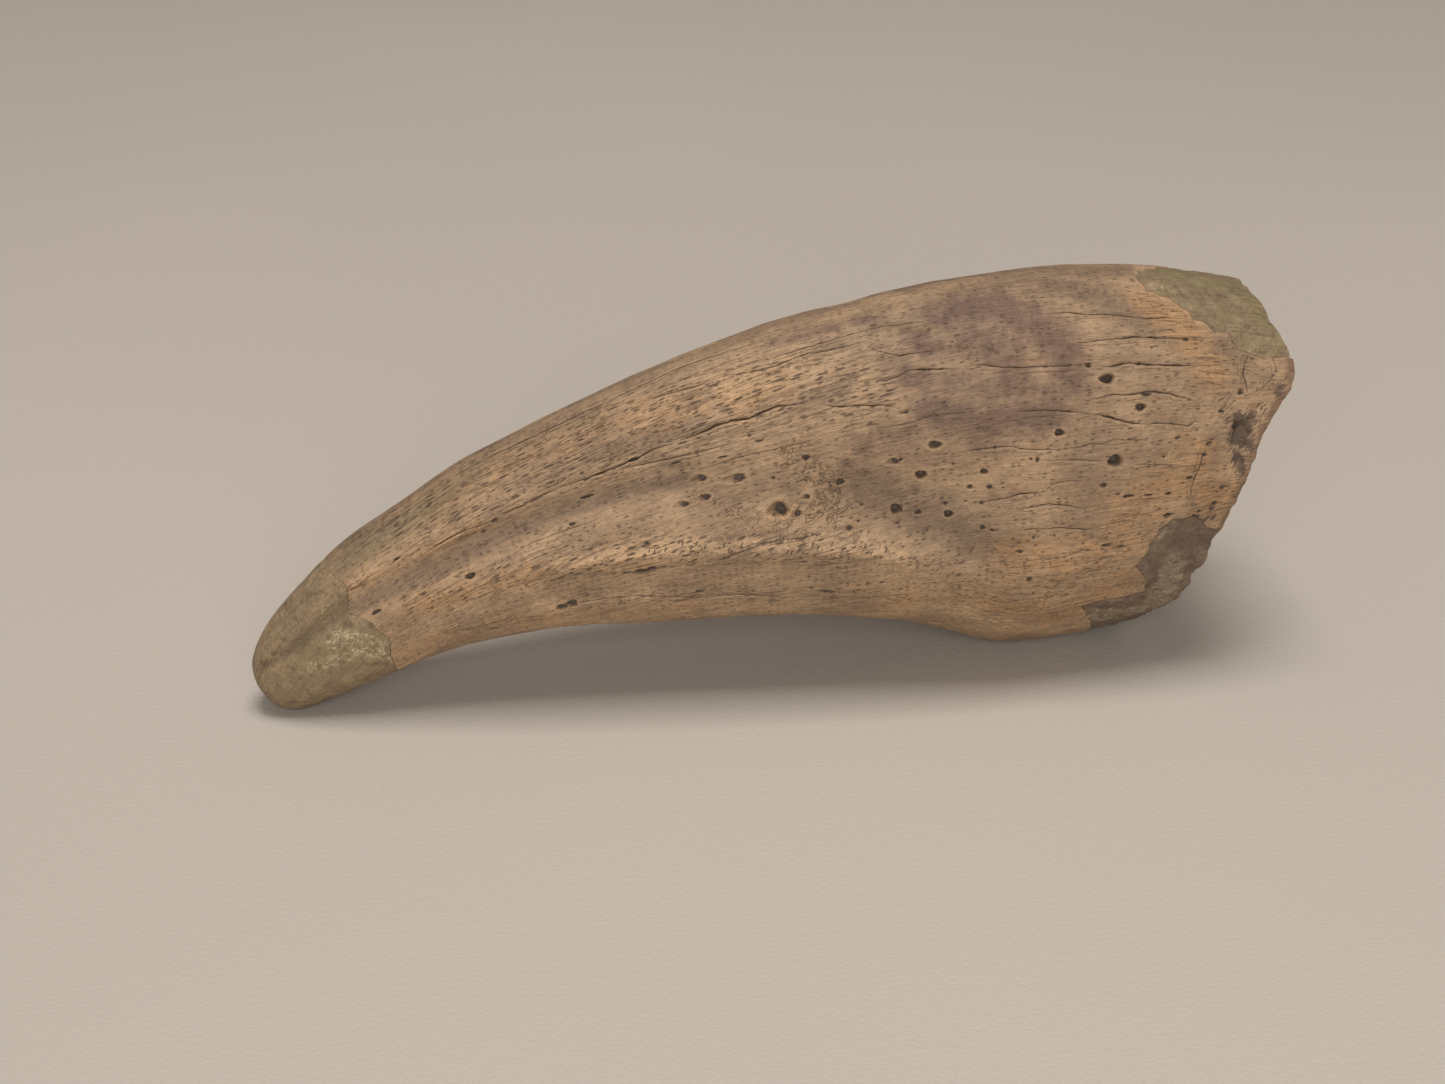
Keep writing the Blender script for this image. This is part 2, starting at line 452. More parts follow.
class Skin:
    """The claw's whole surface by station and turn; stations past the last one run in over the joint face."""

    def __init__(self):
        even = np.arange(RIM_SAMPLES) * 2 * math.pi / RIM_SAMPLES
        self.face_centre = rim_points(even).mean(axis=0)
        fine = np.linspace(0, LAST_STATION, LENGTH_SAMPLES)
        side = surface_points(fine, np.full_like(fine, math.pi / 2))
        steps = np.linalg.norm(np.diff(side, axis=0), axis=1)
        self.fine_stations = fine
        self.length_to = np.concatenate([[0], np.cumsum(steps)])

    def length(self, station):
        """Way along the side from the tip, in metres."""
        return np.interp(station, self.fine_stations, self.length_to)

    def base(self, station, turn):
        """Points of the skin, or of the joint face for stations past the last."""
        station = np.asarray(station, float)
        turn = np.asarray(turn, float)
        points = surface_points(np.minimum(station, LAST_STATION), turn)
        near_rim = self.length(station) - self.length_to[-1] + RIM_FADE
        near_rim = np.clip(near_rim / RIM_FADE, 0, 1)
        chosen = near_rim > 0
        if chosen.any():
            shifted = broken(points[chosen], RIM_BREAK_KEPT * RIM_BREAK_HEIGHT)
            points[chosen] += (shifted - points[chosen]) * near_rim[chosen, None]
        on_face = station > LAST_STATION
        if on_face.any():
            points[on_face] = self.face(points[on_face], station[on_face])
        return placed(points)

    def face(self, rim, station):
        """Points of the joint face inside their rim points."""
        kept = 1 - (station - LAST_STATION) / FACE_SPAN
        shares = [0.0] + [row[0] for row in reversed(FACE_RINGS)] + [1.0]
        depths = [FACE_MIDDLE_DEPTH / MM] + [row[1] for row in reversed(FACE_RINGS)] + [0.0]
        depth = np.interp(kept, shares, depths) * MM
        inner = self.face_centre + (rim - self.face_centre) * kept[:, None]
        ridge = 1 - FACE_RIDGE_SHARE * np.exp(-((inner[:, 1] / FACE_RIDGE_HALF_BREADTH) ** 2))
        inner = inner + (depth * ridge)[:, None] * np.array(FACE_INWARD)
        rough = broken(inner, RIM_BREAK_KEPT * RIM_BREAK_HEIGHT) - inner
        return inner + rough * np.clip((1 - kept) / FACE_SMOOTH_EDGE, 0, 1)[:, None]

    def with_normals(self, station, turn):
        """Skin points and the directions out of the claw there."""
        station = np.asarray(station, float)
        turn = np.asarray(turn, float)
        points = self.base(station, turn)
        step = np.where(station > LAST_STATION, FACE_SPAN * SLOPE_STEP, SLOPE_STEP * 2)
        here = np.where(station > LAST_STATION, station + step, station - step)
        along = (points - self.base(here, turn)) * np.sign(station - here)[:, None]
        around = self.base(station, turn + SLOPE_STEP) - points
        normal = np.cross(around, along)
        normal /= np.maximum(np.linalg.norm(normal, axis=1), 1e-15)[:, None]
        return points, normal

    def grain(self, station, turn):
        """Grain positions in mm: along the claw, and across it from the middle of the back."""
        spread = by_station(GRAIN_SPREAD, np.minimum(station, LAST_STATION))[:, 0]
        inward = np.maximum(station - LAST_STATION, 0) * FACE_GRAIN
        return self.length(station) / MM + inward, turn * spread


def smooth_step(low, high, value):
    share = np.clip((value - low) / (high - low), 0, 1)
    return share * share * (3 - 2 * share)


class Frames:
    """Places on the skin with the grain's direction there, for pores and slits."""

    def __init__(self, skin, places):
        stations = np.array([p[0] for p in places])
        turns = np.array([p[1] for p in places])
        self.centre, self.normal = skin.with_normals(stations, turns)
        ahead = skin.base(np.minimum(stations + 0.05, LAST_STATION - 0.01), turns)
        grain = ahead - self.centre
        grain -= self.normal * (grain * self.normal).sum(1)[:, None]
        self.grain = grain / np.maximum(np.linalg.norm(grain, axis=1), 1e-12)[:, None]
        self.across = np.cross(self.normal, self.grain)


class Nearby:
    """Points sorted along X, so that those inside a box are found quickly."""

    def __init__(self, points):
        self.order = np.argsort(points[:, 0])
        self.points = points[self.order]
        self.x = self.points[:, 0].copy()

    def within(self, low, high):
        first, last = np.searchsorted(self.x, (low[0], high[0]))
        part = self.points[first:last, 1:]
        inside = ((part > low[1:]) & (part < high[1:])).all(axis=1)
        return self.order[first:last][inside]


class Pores:
    """Round and drawn-out holes in the skin.

    A row is station, turn, half breadth, half length, depth, lip and slant. A slanted pore runs in towards
    the joint end: it is shallow on the tip's side and deep and dark on the other.
    """

    def __init__(self, skin, rows):
        self.rows = rows
        self.frames = Frames(skin, rows)

    def visit(self, points):
        """For each pore: its row, the points near it, and how far out they lie with the edge at 1."""
        nearby = Nearby(points)
        for i, row in enumerate(self.rows):
            centre = self.frames.centre[i]
            reach = 2.6 * row[3] + 0.3 * MM
            near = nearby.within(centre - reach, centre + reach)
            if len(near) == 0:
                continue
            away = points[near] - centre
            along = away @ self.frames.grain[i] / row[3]
            across = away @ self.frames.across[i] / row[2]
            wobble = PORE_WOBBLE * np.sin(3 * np.arctan2(across, along) + i * 1.7)
            out = np.hypot(along, across) * (1 + wobble)
            facing = np.abs(away @ self.frames.normal[i]) < reach
            yield row, near[facing], out[facing], along[facing]

    def nearest(self, points):
        """How far out each point is from the nearest pore, with the edge at 1, and its half breadth."""
        best = np.full(len(points), 9.0)
        size = np.full(len(points), 9.0)
        for row, near, out, _ in self.visit(points):
            closer = out < best[near]
            best[near[closer]] = out[closer]
            size[near[closer]] = row[2]
        return best, size

    def shape(self, points):
        """How far pores move the skin, the way out from their dark mouths, and how much is on a lip."""
        moved = np.zeros(len(points))
        mouth = np.full(len(points), PORE_MOUTH_FAR)
        lip = np.zeros(len(points))
        for row, near, out, along in self.visit(points):
            _, _, breadth, _, depth, raised, slant = row
            ramp = 1 - slant * 0.8 * (1 - smooth_step(-0.7, 0.55, along))
            sunk = smooth_step(1.12, 0.55, out) * ramp
            ring = np.exp(-(((out - 1.3) / 0.3) ** 2)) * raised
            moved[near] += ring * breadth * PORE_LIP - sunk * depth
            dark = out + slant * 1.5 * np.clip(0.35 - along, 0, 1)
            mouth[near] = np.minimum(mouth[near], dark)
            lip[near] = np.maximum(lip[near], ring)
        return moved, mouth, lip


class Cracks:
    """Thin cracks. Each is a wandering line of skin points with an opening that closes at both ends."""

    def __init__(self, skin, rows):
        self.starts = []
        self.ends = []
        self.normals = []
        self.openings = []
        for seed, (opening, places) in enumerate(rows):
            self.add(skin, opening * MM, places, seed)

    def add(self, skin, opening, places, seed):
        corners = skin.base([p[0] for p in places], [p[1] for p in places])
        way = np.concatenate([[0], np.cumsum(np.linalg.norm(np.diff(corners, axis=0), axis=1))])
        count = max(3, int(way[-1] / CRACK_POINT_GAP))
        share = np.linspace(0, 1, count + 1)
        stations = np.interp(share * way[-1], way, [p[0] for p in places])
        turns = np.interp(share * way[-1], way, [p[1] for p in places])
        line, normals = skin.with_normals(stations, turns)
        wander = np.array([noise.noise_vector(Vector(p) / CRACK_WANDER_SIZE) for p in line]) * CRACK_WANDER
        line = line + wander
        taper = np.clip(np.minimum(share, 1 - share) * 5, 0.15, 1)
        along = share * way[-1] / CRACK_PINCH_SIZE
        pinch = 0.75 + 0.5 * np.array([noise.noise(Vector((a, seed * 3.7, 0))) for a in along])
        width = opening * taper * np.clip(pinch, 0.3, 1.4)
        for a, b, normal, w1, w2 in zip(line, line[1:], normals, width, width[1:]):
            self.starts.append(a)
            self.ends.append(b)
            self.normals.append(normal)
            self.openings.append((w1, w2))

    def offsets(self, points):
        """Signed distance to the nearest crack's line and that crack's opening there, in metres."""
        nearby = Nearby(points)
        best = np.full(len(points), CRACK_REACH)
        side = np.full(len(points), CRACK_REACH)
        width = np.zeros(len(points))
        for start, end, normal, (w1, w2) in zip(self.starts, self.ends, self.normals, self.openings):
            low = np.minimum(start, end) - CRACK_REACH
            high = np.maximum(start, end) + CRACK_REACH
            near = nearby.within(low, high)
            if len(near) == 0:
                continue
            run = end - start
            length = np.linalg.norm(run)
            run = run / length
            away = points[near] - start
            away = away - (away @ normal)[:, None] * normal
            along = np.clip(away @ run, 0, length)
            off = away - along[:, None] * run
            distance = np.linalg.norm(off, axis=1)
            sign = np.where(off @ np.cross(normal, run) >= 0, 1.0, -1.0)
            closer = distance < best[near]
            chosen = near[closer]
            best[chosen] = distance[closer]
            side[chosen] = (distance * sign)[closer]
            width[chosen] = (w1 + (w2 - w1) * along / length)[closer]
        return side, width


def strokes(skin, points, rows):
    """Soft areas painted by hand: a row is strength, half breadth in mm, and the places of its line."""
    total = np.zeros(len(points))
    for strength, breadth, places in rows:
        corners = skin.base([p[0] for p in places], [p[1] for p in places])
        distance = np.linalg.norm(points - corners[0], axis=1)
        for start, end in zip(corners, corners[1:]):
            run = end - start
            share = np.clip((points - start) @ run / max(run @ run, 1e-15), 0, 1)
            distance = np.minimum(distance, np.linalg.norm(points - start - share[:, None] * run, axis=1))
        total = np.maximum(total, strength * np.exp(-((distance / (breadth * MM)) ** 2)))
    return total


SKIN_MAP = "skin_map"
GRAIN_MAP = "grain"
FIXED_STATION = -1.0

RIM_RAG_REACH = 0.9 * MM
RIM_RAG_HEIGHT = 0.26 * MM
RIM_RAG_SIZE = 1.3 * MM
RIM_STAIN_REACH = 1.1 * MM
FACE_RADIUS = 25 * MM
OUTLINE_STEP = 0.8 * MM
OUTLINE_STEPS_AT_MOST = 14
OUTLINE_RAG_SIZE = 1.6 * MM
OUTLINE_RAG_HEIGHT = 0.45 * MM


def even_rows(skin, first, rings, face_rings):
    """Stations evenly spaced along the claw from the first one, then on over the joint face."""
    lengths = np.linspace(skin.length(first), skin.length_to[-1], rings)
    stations = np.interp(lengths, skin.length_to, skin.fine_stations)
    inward = np.linspace(0, 1 - FACE_MIDDLE, face_rings + 1)[1:]
    return np.concatenate([stations, LAST_STATION + FACE_SPAN * inward])


def tip_rows(skin, last, rings):
    """Stations evenly spaced from just behind the very tip to the last one."""
    lengths = np.linspace(0, 1, rings)[1:] * skin.length(last)
    return np.interp(lengths, skin.length_to, skin.fine_stations)


def even_turns(far, near):
    """Turns round the claw from underneath, up the far side, over the back and down the near side."""
    return np.concatenate([
        np.linspace(-math.pi, 0, far, endpoint=False),
        np.linspace(0, math.pi, near, endpoint=False),
    ])


def sampled_skin(skin, rows, turns, first_is_tip, last_is_face):
    """A closed bmesh over the rows and turns, whose corner map holds station and turn."""
    count = len(turns)
    grid, around = np.meshgrid(rows, turns, indexing="ij")
    points = list(skin.base(grid.ravel(), around.ravel()))
    first_ring = np.array(points[:count])
    last_ring = np.array(points[-count:])
    points.append(skin.base([0.0], [0.0])[0] if first_is_tip else first_ring.mean(axis=0))
    points.append(last_ring.mean(axis=0))
    ends = np.append(turns, math.pi)
    bm = bmesh.new()
    verts = [bm.verts.new(p) for p in points]
    layer = bm.loops.layers.uv.new(SKIN_MAP)

    def add_face(corners):
        face = bm.faces.new([verts[c[0]] for c in corners])
        for loop, corner in zip(face.loops, corners):
            loop[layer].uv = corner[1:]

    for j in range(count):
        k = (j + 1) % count
        for i in range(len(rows) - 1):
            near, far = i * count, (i + 1) * count
            add_face((
                (near + j, rows[i], ends[j]), (near + k, rows[i], ends[j + 1]),
                (far + k, rows[i + 1], ends[j + 1]), (far + j, rows[i + 1], ends[j]),
            ))
        first = 0.0 if first_is_tip else FIXED_STATION
        last = LAST_STATION + FACE_SPAN if last_is_face else FIXED_STATION
        middle = (ends[j] + ends[j + 1]) / 2
        add_face(((len(points) - 2, first, middle), (k, rows[0], ends[j + 1]), (j, rows[0], ends[j])))
        base = (len(rows) - 1) * count
        add_face((
            (len(points) - 1, last, middle), (base + j, rows[-1], ends[j]), (base + k, rows[-1], ends[j + 1]),
        ))
    return bm


def refine(bm, skin, wanted):
    """Halves the edges of the faces whose middles the wanted function picks."""
    layer = bm.loops.layers.uv[SKIN_MAP]
    middles = np.array([np.mean([loop[layer].uv for loop in f.loops], axis=0) for f in bm.faces])
    on_skin = (middles[:, 0] > 0) & (middles[:, 0] < LAST_STATION)
    chosen = wanted(skin.base(middles[:, 0], middles[:, 1])) & on_skin
    edges = {e for f, pick in zip(bm.faces, chosen) if pick for e in f.edges}
    bmesh.ops.subdivide_edges(bm, edges=list(edges), cuts=1, use_grid_fill=True)


def corner_map(mesh, name):
    values = np.empty(len(mesh.loops) * 2, np.float32)
    mesh.uv_layers[name].data.foreach_get("uv", values)
    return values.reshape(-1, 2).astype(float)


def corner_vertices(mesh):
    indices = np.empty(len(mesh.loops), np.int32)
    mesh.loops.foreach_get("vertex_index", indices)
    return indices


def vertex_points(mesh):
    points = np.empty(len(mesh.vertices) * 3)
    mesh.vertices.foreach_get("co", points)
    return points.reshape(-1, 3)


def skin_places(mesh):
    """Each vertex's station and turn, and whether it has any; corners left at zero belong to cut faces."""
    places = corner_map(mesh, SKIN_MAP)
    owner = corner_vertices(mesh)
    on_skin_corner = (np.abs(places).sum(axis=1) > 1e-9) & (places[:, 0] >= 0)
    found = np.zeros((len(mesh.vertices), 2))
    known = np.zeros(len(mesh.vertices), bool)
    found[owner[on_skin_corner]] = places[on_skin_corner]
    known[owner[on_skin_corner]] = True
    return found, known


def reshape(mesh, skin, relief):
    """Moves every skin vertex to its exact place plus its relief."""
    places, known = skin_places(mesh)
    station, turn = places[known].T
    points, normals = skin.with_normals(station, turn)
    moved = points + normals * relief(station, turn, points)[:, None]
    near_rim = np.exp(-((rim_distance(skin, station) / RIM_RAG_REACH) ** 2)) * RIM_RAG_HEIGHT
    close = near_rim > RIM_RAG_HEIGHT * 0.02
    rag = np.array([noise.noise_vector(Vector(p) / RIM_RAG_SIZE) for p in points[close]])
    if close.any():
        moved[close] += rag * near_rim[close, None]
    every = vertex_points(mesh)
    every[known] = moved
    mesh.vertices.foreach_set("co", every.ravel())
    mesh.update()


def rim_distance(skin, station):
    """How far skin or joint face is from the rim between them, in metres."""
    on_face = np.maximum(station - LAST_STATION, 0) / FACE_SPAN * FACE_RADIUS
    return on_face + np.maximum(skin.length_to[-1] - skin.length(station), 0) * (station <= LAST_STATION)


def as_mesh(name, bm):
    bmesh.ops.recalc_face_normals(bm, faces=bm.faces)
    mesh = bpy.data.meshes.new(name)
    bm.to_mesh(mesh)
    bm.free()
    return mesh


def flat_feet(mesh):
    """Cuts the mesh flat where it meets the floor."""
    bm = bmesh.new()
    bm.from_mesh(mesh)
    everything = bm.verts[:] + bm.edges[:] + bm.faces[:]
    bmesh.ops.bisect_plane(
        bm, geom=everything, dist=1e-7, plane_co=(0, 0, 0), plane_no=(0, 0, -1), clear_outer=True,
    )
    layer = bm.loops.layers.uv[SKIN_MAP]
    soles = set(bmesh.ops.holes_fill(bm, edges=[e for e in bm.edges if e.is_boundary])["faces"])
    for sole in soles:
        for corner in sole.loops:
            on_skin = next(loop for loop in corner.vert.link_loops if loop.face not in soles)
            station, turn = on_skin[layer].uv
            corner[layer].uv = (station, turn + 2 * math.pi if turn < 0 else turn)
    bmesh.ops.triangulate(bm, faces=[f for f in bm.faces if len(f.verts) > 4])
    bm.to_mesh(mesh)
    bm.free()


def rough_outline(outline, seed):
    """An outline's corners in metres with fine ragged steps between them."""
    corners = [Vector((x * MM + CENTRING_SHIFT, z * MM)) for x, z in outline]
    ragged = []
    for here, after in zip(corners, corners[1:] + corners[:1]):
        count = max(1, min(OUTLINE_STEPS_AT_MOST, int((after - here).length / OUTLINE_STEP)))
        for i in range(count):
            p = here.lerp(after, i / count)
            stir = noise.noise_vector(Vector((p.x, p.y, 0)) / OUTLINE_RAG_SIZE + Vector((seed * 5.1, 0, 0)))
            ragged.append(p + Vector(stir[:2]) * OUTLINE_RAG_HEIGHT)
    return ragged


def outline_prism(name, outline, skew, gap, seed):
    """A prism across the claw with a restored area's outline, grown by a gap, true at the near side."""
    corners = rough_outline(outline, seed)
    area = sum(a.x * b.y - b.x * a.y for a, b in zip(corners, corners[1:] + corners[:1]))
    if area > 0:
        corners.reverse()
    grown = []
    for before, here, after in zip(corners[-1:] + corners[:-1], corners, corners[1:] + corners[:1]):
        run = (after - before).normalized()
        grown.append(here + Vector((-run.y, run.x)) * gap)
    bm = bmesh.new()
    rows = []
    for y in (-OUTLINE_REACH, OUTLINE_REACH):
        slide = Vector(skew) * (y - OUTLINE_TRUE_AT)
        rows.append([bm.verts.new((c.x + slide.x, y, c.y + slide.y)) for c in grown])
    near, far = rows
    bm.faces.new(near)
    bm.faces.new(reversed(far))
    for i in range(len(grown)):
        j = (i + 1) % len(grown)
        bm.faces.new((near[i], far[i], far[j], near[j]))
    return linked(name, as_mesh(name, bm))


def cut_by(piece, tools, operation):
    """Applies Booleans with the tools to the piece, then removes the tools."""
    for tool in tools:
        modifier = piece.modifiers.new(tool.name, "BOOLEAN")
        modifier.operation = operation
        modifier.solver = "EXACT"
        modifier.object = tool
    graph = bpy.context.evaluated_depsgraph_get()
    made = bpy.data.meshes.new_from_object(
        piece.evaluated_get(graph), preserve_all_data_layers=True, depsgraph=graph,
    )
    piece.modifiers.clear()
    old = piece.data
    piece.data = made
    bpy.data.meshes.remove(old)
    for tool in tools:
        bpy.data.objects.remove(tool)
    made.name = piece.name


def set_values(mesh, name, values):
    layer = mesh.attributes.new(name, "FLOAT", "POINT")
    layer.data.foreach_set("value", values.astype(np.float32))


def grain_map(mesh, skin):
    """Replaces the corner map by one in mm along and across the grain."""
    places = corner_map(mesh, SKIN_MAP)
    along, across = skin.grain(np.maximum(places[:, 0], 0), places[:, 1])
    layer = mesh.uv_layers.new(name=GRAIN_MAP, do_init=False)
    layer.data.foreach_set("uv", np.stack([along, across], axis=1).astype(np.float32).ravel())
    mesh.uv_layers.remove(mesh.uv_layers[SKIN_MAP])


# Tints of the near side, as brush strokes: strength, half breadth in mm, picture positions along the stroke.
PURPLE_IN_PICTURE = (
    (0.95, 4.2, ((945, 315), (985, 305), (1030, 322), (1060, 345), (1070, 380))),
    (0.80, 3.2, ((920, 345), (980, 345), (1040, 395))),
    (0.85, 3.6, ((975, 335), (1012, 348), (1008, 378))),
    (1.00, 3.4, ((930, 410), (985, 424), (1050, 413))),
    (0.80, 3.2, ((905, 376), (955, 384), (1000, 388))),
    (0.60, 2.6, ((925, 350), (970, 348), (1010, 344))),
    (0.60, 1.5, ((775, 345), (820, 331), (875, 318))),
    (0.55, 3.4, ((850, 450), (930, 425), (990, 445))),
)
GREY_IN_PICTURE = (
    (0.90, 1.9, ((348, 612), (400, 588), (450, 562), (500, 537), (560, 512), (640, 486), (690, 480))),
    (0.50, 4.0, ((700, 482), (790, 492), (860, 500))),
    (1.00, 4.4, ((860, 485), (900, 500), (960, 530), (1000, 548))),
    (0.50, 2.2, ((300, 592), (400, 505), (500, 440), (620, 384), (740, 338), (850, 304))),
    (0.40, 2.4, ((700, 590), (760, 592), (830, 588))),
    (0.40, 2.0, ((860, 316), (900, 306), (940, 300))),
    (0.40, 2.8, ((322, 572), (352, 546), (410, 500), (470, 460))),
    (0.85, 3.2, ((1050, 285), (1100, 296), (1150, 325))),
    (0.55, 2.4, ((820, 348), (880, 327), (930, 318))),
    (0.60, 2.2, ((800, 312), (850, 300), (910, 290))),
    (0.80, 2.2, ((590, 457), (640, 440), (700, 426))),
    (0.55, 1.8, ((630, 450), (690, 468), (640, 480))),
    (0.60, 1.8, ((1170, 340), (1215, 345), (1245, 352))),
    (0.45, 4.0, ((1160, 470), (1100, 430), (1080, 470))),
    (0.70, 3.0, ((890, 290), (1000, 274), (1120, 270))),
    (0.85, 2.2, ((1214, 445), (1206, 480), (1210, 512))),
    (0.40, 5.0, ((1130, 360), (1190, 400), (1160, 450))),
    (0.45, 1.4, ((1266, 380), (1276, 392))),
)
ORANGE_IN_PICTURE = (
    (1.00, 0.9, ((350, 588), (390, 567), (430, 547), (480, 525))),
    (0.60, 3.4, ((430, 500), (560, 440), (700, 402), (780, 388))),
    (0.65, 2.2, ((400, 612), (480, 585), (560, 567), (640, 560))),
    (0.60, 2.2, ((400, 655), (500, 625), (600, 612), (700, 606))),
    (0.80, 4.6, ((1120, 520), (1150, 500), (1190, 470), (1215, 500))),
    (0.80, 4.6, ((1000, 606), (1060, 615), (1120, 585))),
    (0.95, 3.0, ((1145, 300), (1180, 325), (1215, 380))),
    (0.95, 2.2, ((1208, 450), (1203, 480), (1200, 515))),
    (0.70, 5.0, ((1130, 545), (1060, 560), (1010, 560))),
    (0.55, 3.5, ((880, 600), (940, 600), (980, 605))),
)
PALE_IN_PICTURE = (
    (0.90, 1.3, ((560, 566), (650, 551), (750, 546), (850, 548), (900, 556))),
    (0.60, 3.0, ((860, 385), (920, 378), (980, 385))),
    (0.15, 4.0, ((1150, 390), (1190, 420), (1130, 450))),
    (0.40, 3.0, ((690, 400), (780, 380), (840, 370))),
    (0.90, 0.8, ((354, 585), (390, 566), (430, 546), (480, 523))),
    (0.45, 2.2, ((480, 592), (560, 578), (620, 560))),
    (0.70, 2.0, ((540, 606), (600, 600), (650, 594))),
    (0.55, 2.6, ((940, 604), (1000, 622), (1060, 632))),
)
DASHES_IN_PICTURE = (
    (1.00, 5.5, ((400, 520), (520, 468), (660, 420), (780, 390), (860, 395))),
    (0.90, 3.0, ((420, 600), (520, 575), (640, 556), (780, 548), (860, 552))),
    (0.45, 3.0, ((560, 600), (700, 595), (900, 600))),
    (0.45, 4.2, ((1020, 600), (1085, 570), (1140, 520))),
)
PITS_IN_PICTURE = (
    (1.00, 5.0, ((1030, 590), (1100, 560), (1140, 500))),
    (0.90, 3.5, ((850, 590), (940, 590), (1000, 605))),
    (0.25, 6.0, ((800, 470), (900, 480), (980, 500))),
    (0.50, 4.0, ((1150, 420), (1200, 400), (1230, 440))),
)
WORMS_IN_PICTURE = (
    (1.00, 3.0, ((795, 458), (825, 480), (835, 505), (800, 520))),
    (0.60, 2.4, ((700, 500), (760, 520), (850, 535))),
    (0.60, 1.6, ((945, 347), (1010, 352))),
)
TICKS_IN_PICTURE = (
    (1.00, 1.3, ((645, 551), (700, 546), (740, 546))),
    (1.00, 1.6, ((780, 546), (830, 549), (885, 556))),
    (0.60, 1.6, ((885, 556), (930, 566), (990, 582))),
)
OLIVE_IN_PICTURE = (
    (1.00, 2.6, ((326, 578), (352, 554), (400, 526))),
    (0.80, 2.6, ((400, 526), (440, 496), (475, 472))),
    (0.50, 2.2, ((475, 472), (530, 446), (590, 420))),
)
CAVITY_IN_PICTURE = (
    (1.00, 1.9, ((1240, 422), (1247, 442))),
    (0.55, 2.2, ((1228, 406), (1240, 455), (1258, 420))),
    (0.80, 1.1, ((1239, 456), (1243, 472))),
    (0.62, 0.8, ((1286, 380), (1278, 402))),
    (0.75, 0.5, ((1256, 392), (1259, 400))),
    (0.70, 0.7, ((1225, 512), (1208, 522), (1196, 516))),
)
BONE_TINTS = {
    "purple": PURPLE_IN_PICTURE,
    "grey": GREY_IN_PICTURE,
    "orange": ORANGE_IN_PICTURE,
    "pale": PALE_IN_PICTURE,
    "dashes": DASHES_IN_PICTURE,
    "pits": PITS_IN_PICTURE,
    "worms": WORMS_IN_PICTURE,
    "cavity": CAVITY_IN_PICTURE,
    "ticks": TICKS_IN_PICTURE,
    "olive": OLIVE_IN_PICTURE,
}

# The far side repeats the near side's tints and cracks, turned over, slid along and stretched a little.
FAR_SLIDE = -0.45
FAR_STRETCH = 1.06
FAR_KEPT = 0.85
FAR_SPREAD = 1.15

# Larger pores of the far side: x, z, width, length, in mm.
FAR_PORES = (
    (-21.0, 31.5, 1.2, 1.7), (-13.5, 33.6, 1.3, 1.6), (-3.0, 34.5, 1.2, 1.4), (4.5, 31.0, 1.7, 2.1),
    (9.5, 37.2, 1.2, 1.3), (14.0, 33.4, 1.9, 2.2), (19.5, 29.6, 1.2, 1.4), (22.5, 38.6, 1.5, 1.7),
    (27.0, 33.2, 1.6, 1.8), (31.5, 26.4, 1.2, 1.4), (37.0, 40.5, 1.7, 2.0), (43.5, 33.0, 1.3, 1.4),
    (49.5, 42.6, 1.8, 2.2), (54.0, 26.0, 1.4, 1.6), (-34.0, 20.6, 0.9, 3.4),
)
# Their slants in turn, their depth as a share of their width, and their lip.
FAR_SLANTS = (0.9, 0.2, 0.7, 0.0, 0.3)
FAR_PORE_DEPTH = 0.8
FAR_PORE_LIP = 0.6
# Broken-out hollows of the far side: x, z, half length, half breadth and depth, in mm.
FAR_HOLLOWS = ((67.0, 33.0, 2.0, 2.4, 1.4), (65.0, 27.5, 1.2, 1.5, 0.8), (60.0, 45.0, 1.0, 0.8, 0.5))


class Caster:
    """Finds the station and turn of skin seen in the picture or straight from one side."""

    def __init__(self):
        stations = np.linspace(0.1, LAST_STATION, CAST_RINGS)
        turns = np.linspace(-math.pi, math.pi, CAST_COLUMNS)
        grid, around = np.meshgrid(stations, turns, indexing="ij")
        self.stations = grid.ravel()
        self.turns = around.ravel()
        self.points = placed(surface_points(self.stations, self.turns))
        self.quads = []
        for i in range(CAST_RINGS - 1):
            for j in range(CAST_COLUMNS - 1):
                a = i * CAST_COLUMNS + j
                self.quads.append((a, a + 1, a + CAST_COLUMNS + 1, a + CAST_COLUMNS))
        self.tree = BVHTree.FromPolygons([Vector(p) for p in self.points], self.quads)

    def picture(self, x, y):
        """Skin under a picture position, or the nearest skin where the position is just off the claw."""
        back, right, up = camera_axes()
        eye = CAMERA_AIM + back * CAMERA_DISTANCE
        ray = right * (x - PICTURE_WIDTH / 2) + up * (PICTURE_HEIGHT / 2 - y) - back * FOCAL_PIXELS
        hit, _, face, _ = self.tree.ray_cast(eye, ray.normalized())
        if hit is None:
            hit, _, face, _ = self.tree.find_nearest(eye + ray.normalized() * CAMERA_DISTANCE)
        return self.within(hit, face)

    def beside(self, x, z, side):
        """Skin seen along Y from the near side (-1) or the far side (1), at x and z in mm."""
        start = Vector((x * MM + CENTRING_SHIFT, side * 0.1, z * MM))
        hit, _, face, _ = self.tree.ray_cast(start, Vector((0, -side, 0)))
        if hit is None:
            hit, _, face, _ = self.tree.find_nearest(Vector((start.x, side * 0.015, start.z)))
        return self.within(hit, face)

    def within(self, hit, face):
        a, b, _, d = self.quads[face]
        origin = Vector(self.points[a])
        side = Vector(self.points[b]) - origin
        length = Vector(self.points[d]) - origin
        across = (hit - origin).dot(side) / max(side.length_squared, 1e-12)
        along = (hit - origin).dot(length) / max(length.length_squared, 1e-12)
        station = self.stations[a] + (self.stations[d] - self.stations[a]) * along
        return float(station), float(self.turns[a] + (self.turns[b] - self.turns[a]) * across)

    def places(self, positions):
        return [self.picture(x, y) for x, y in positions]


def turned_over(places):
    """Places of the near side moved to the far side, slid along a little."""
    return [(min(max(s + FAR_SLIDE, 0.3), LAST_STATION - 0.2), -t * FAR_STRETCH) for s, t in places]


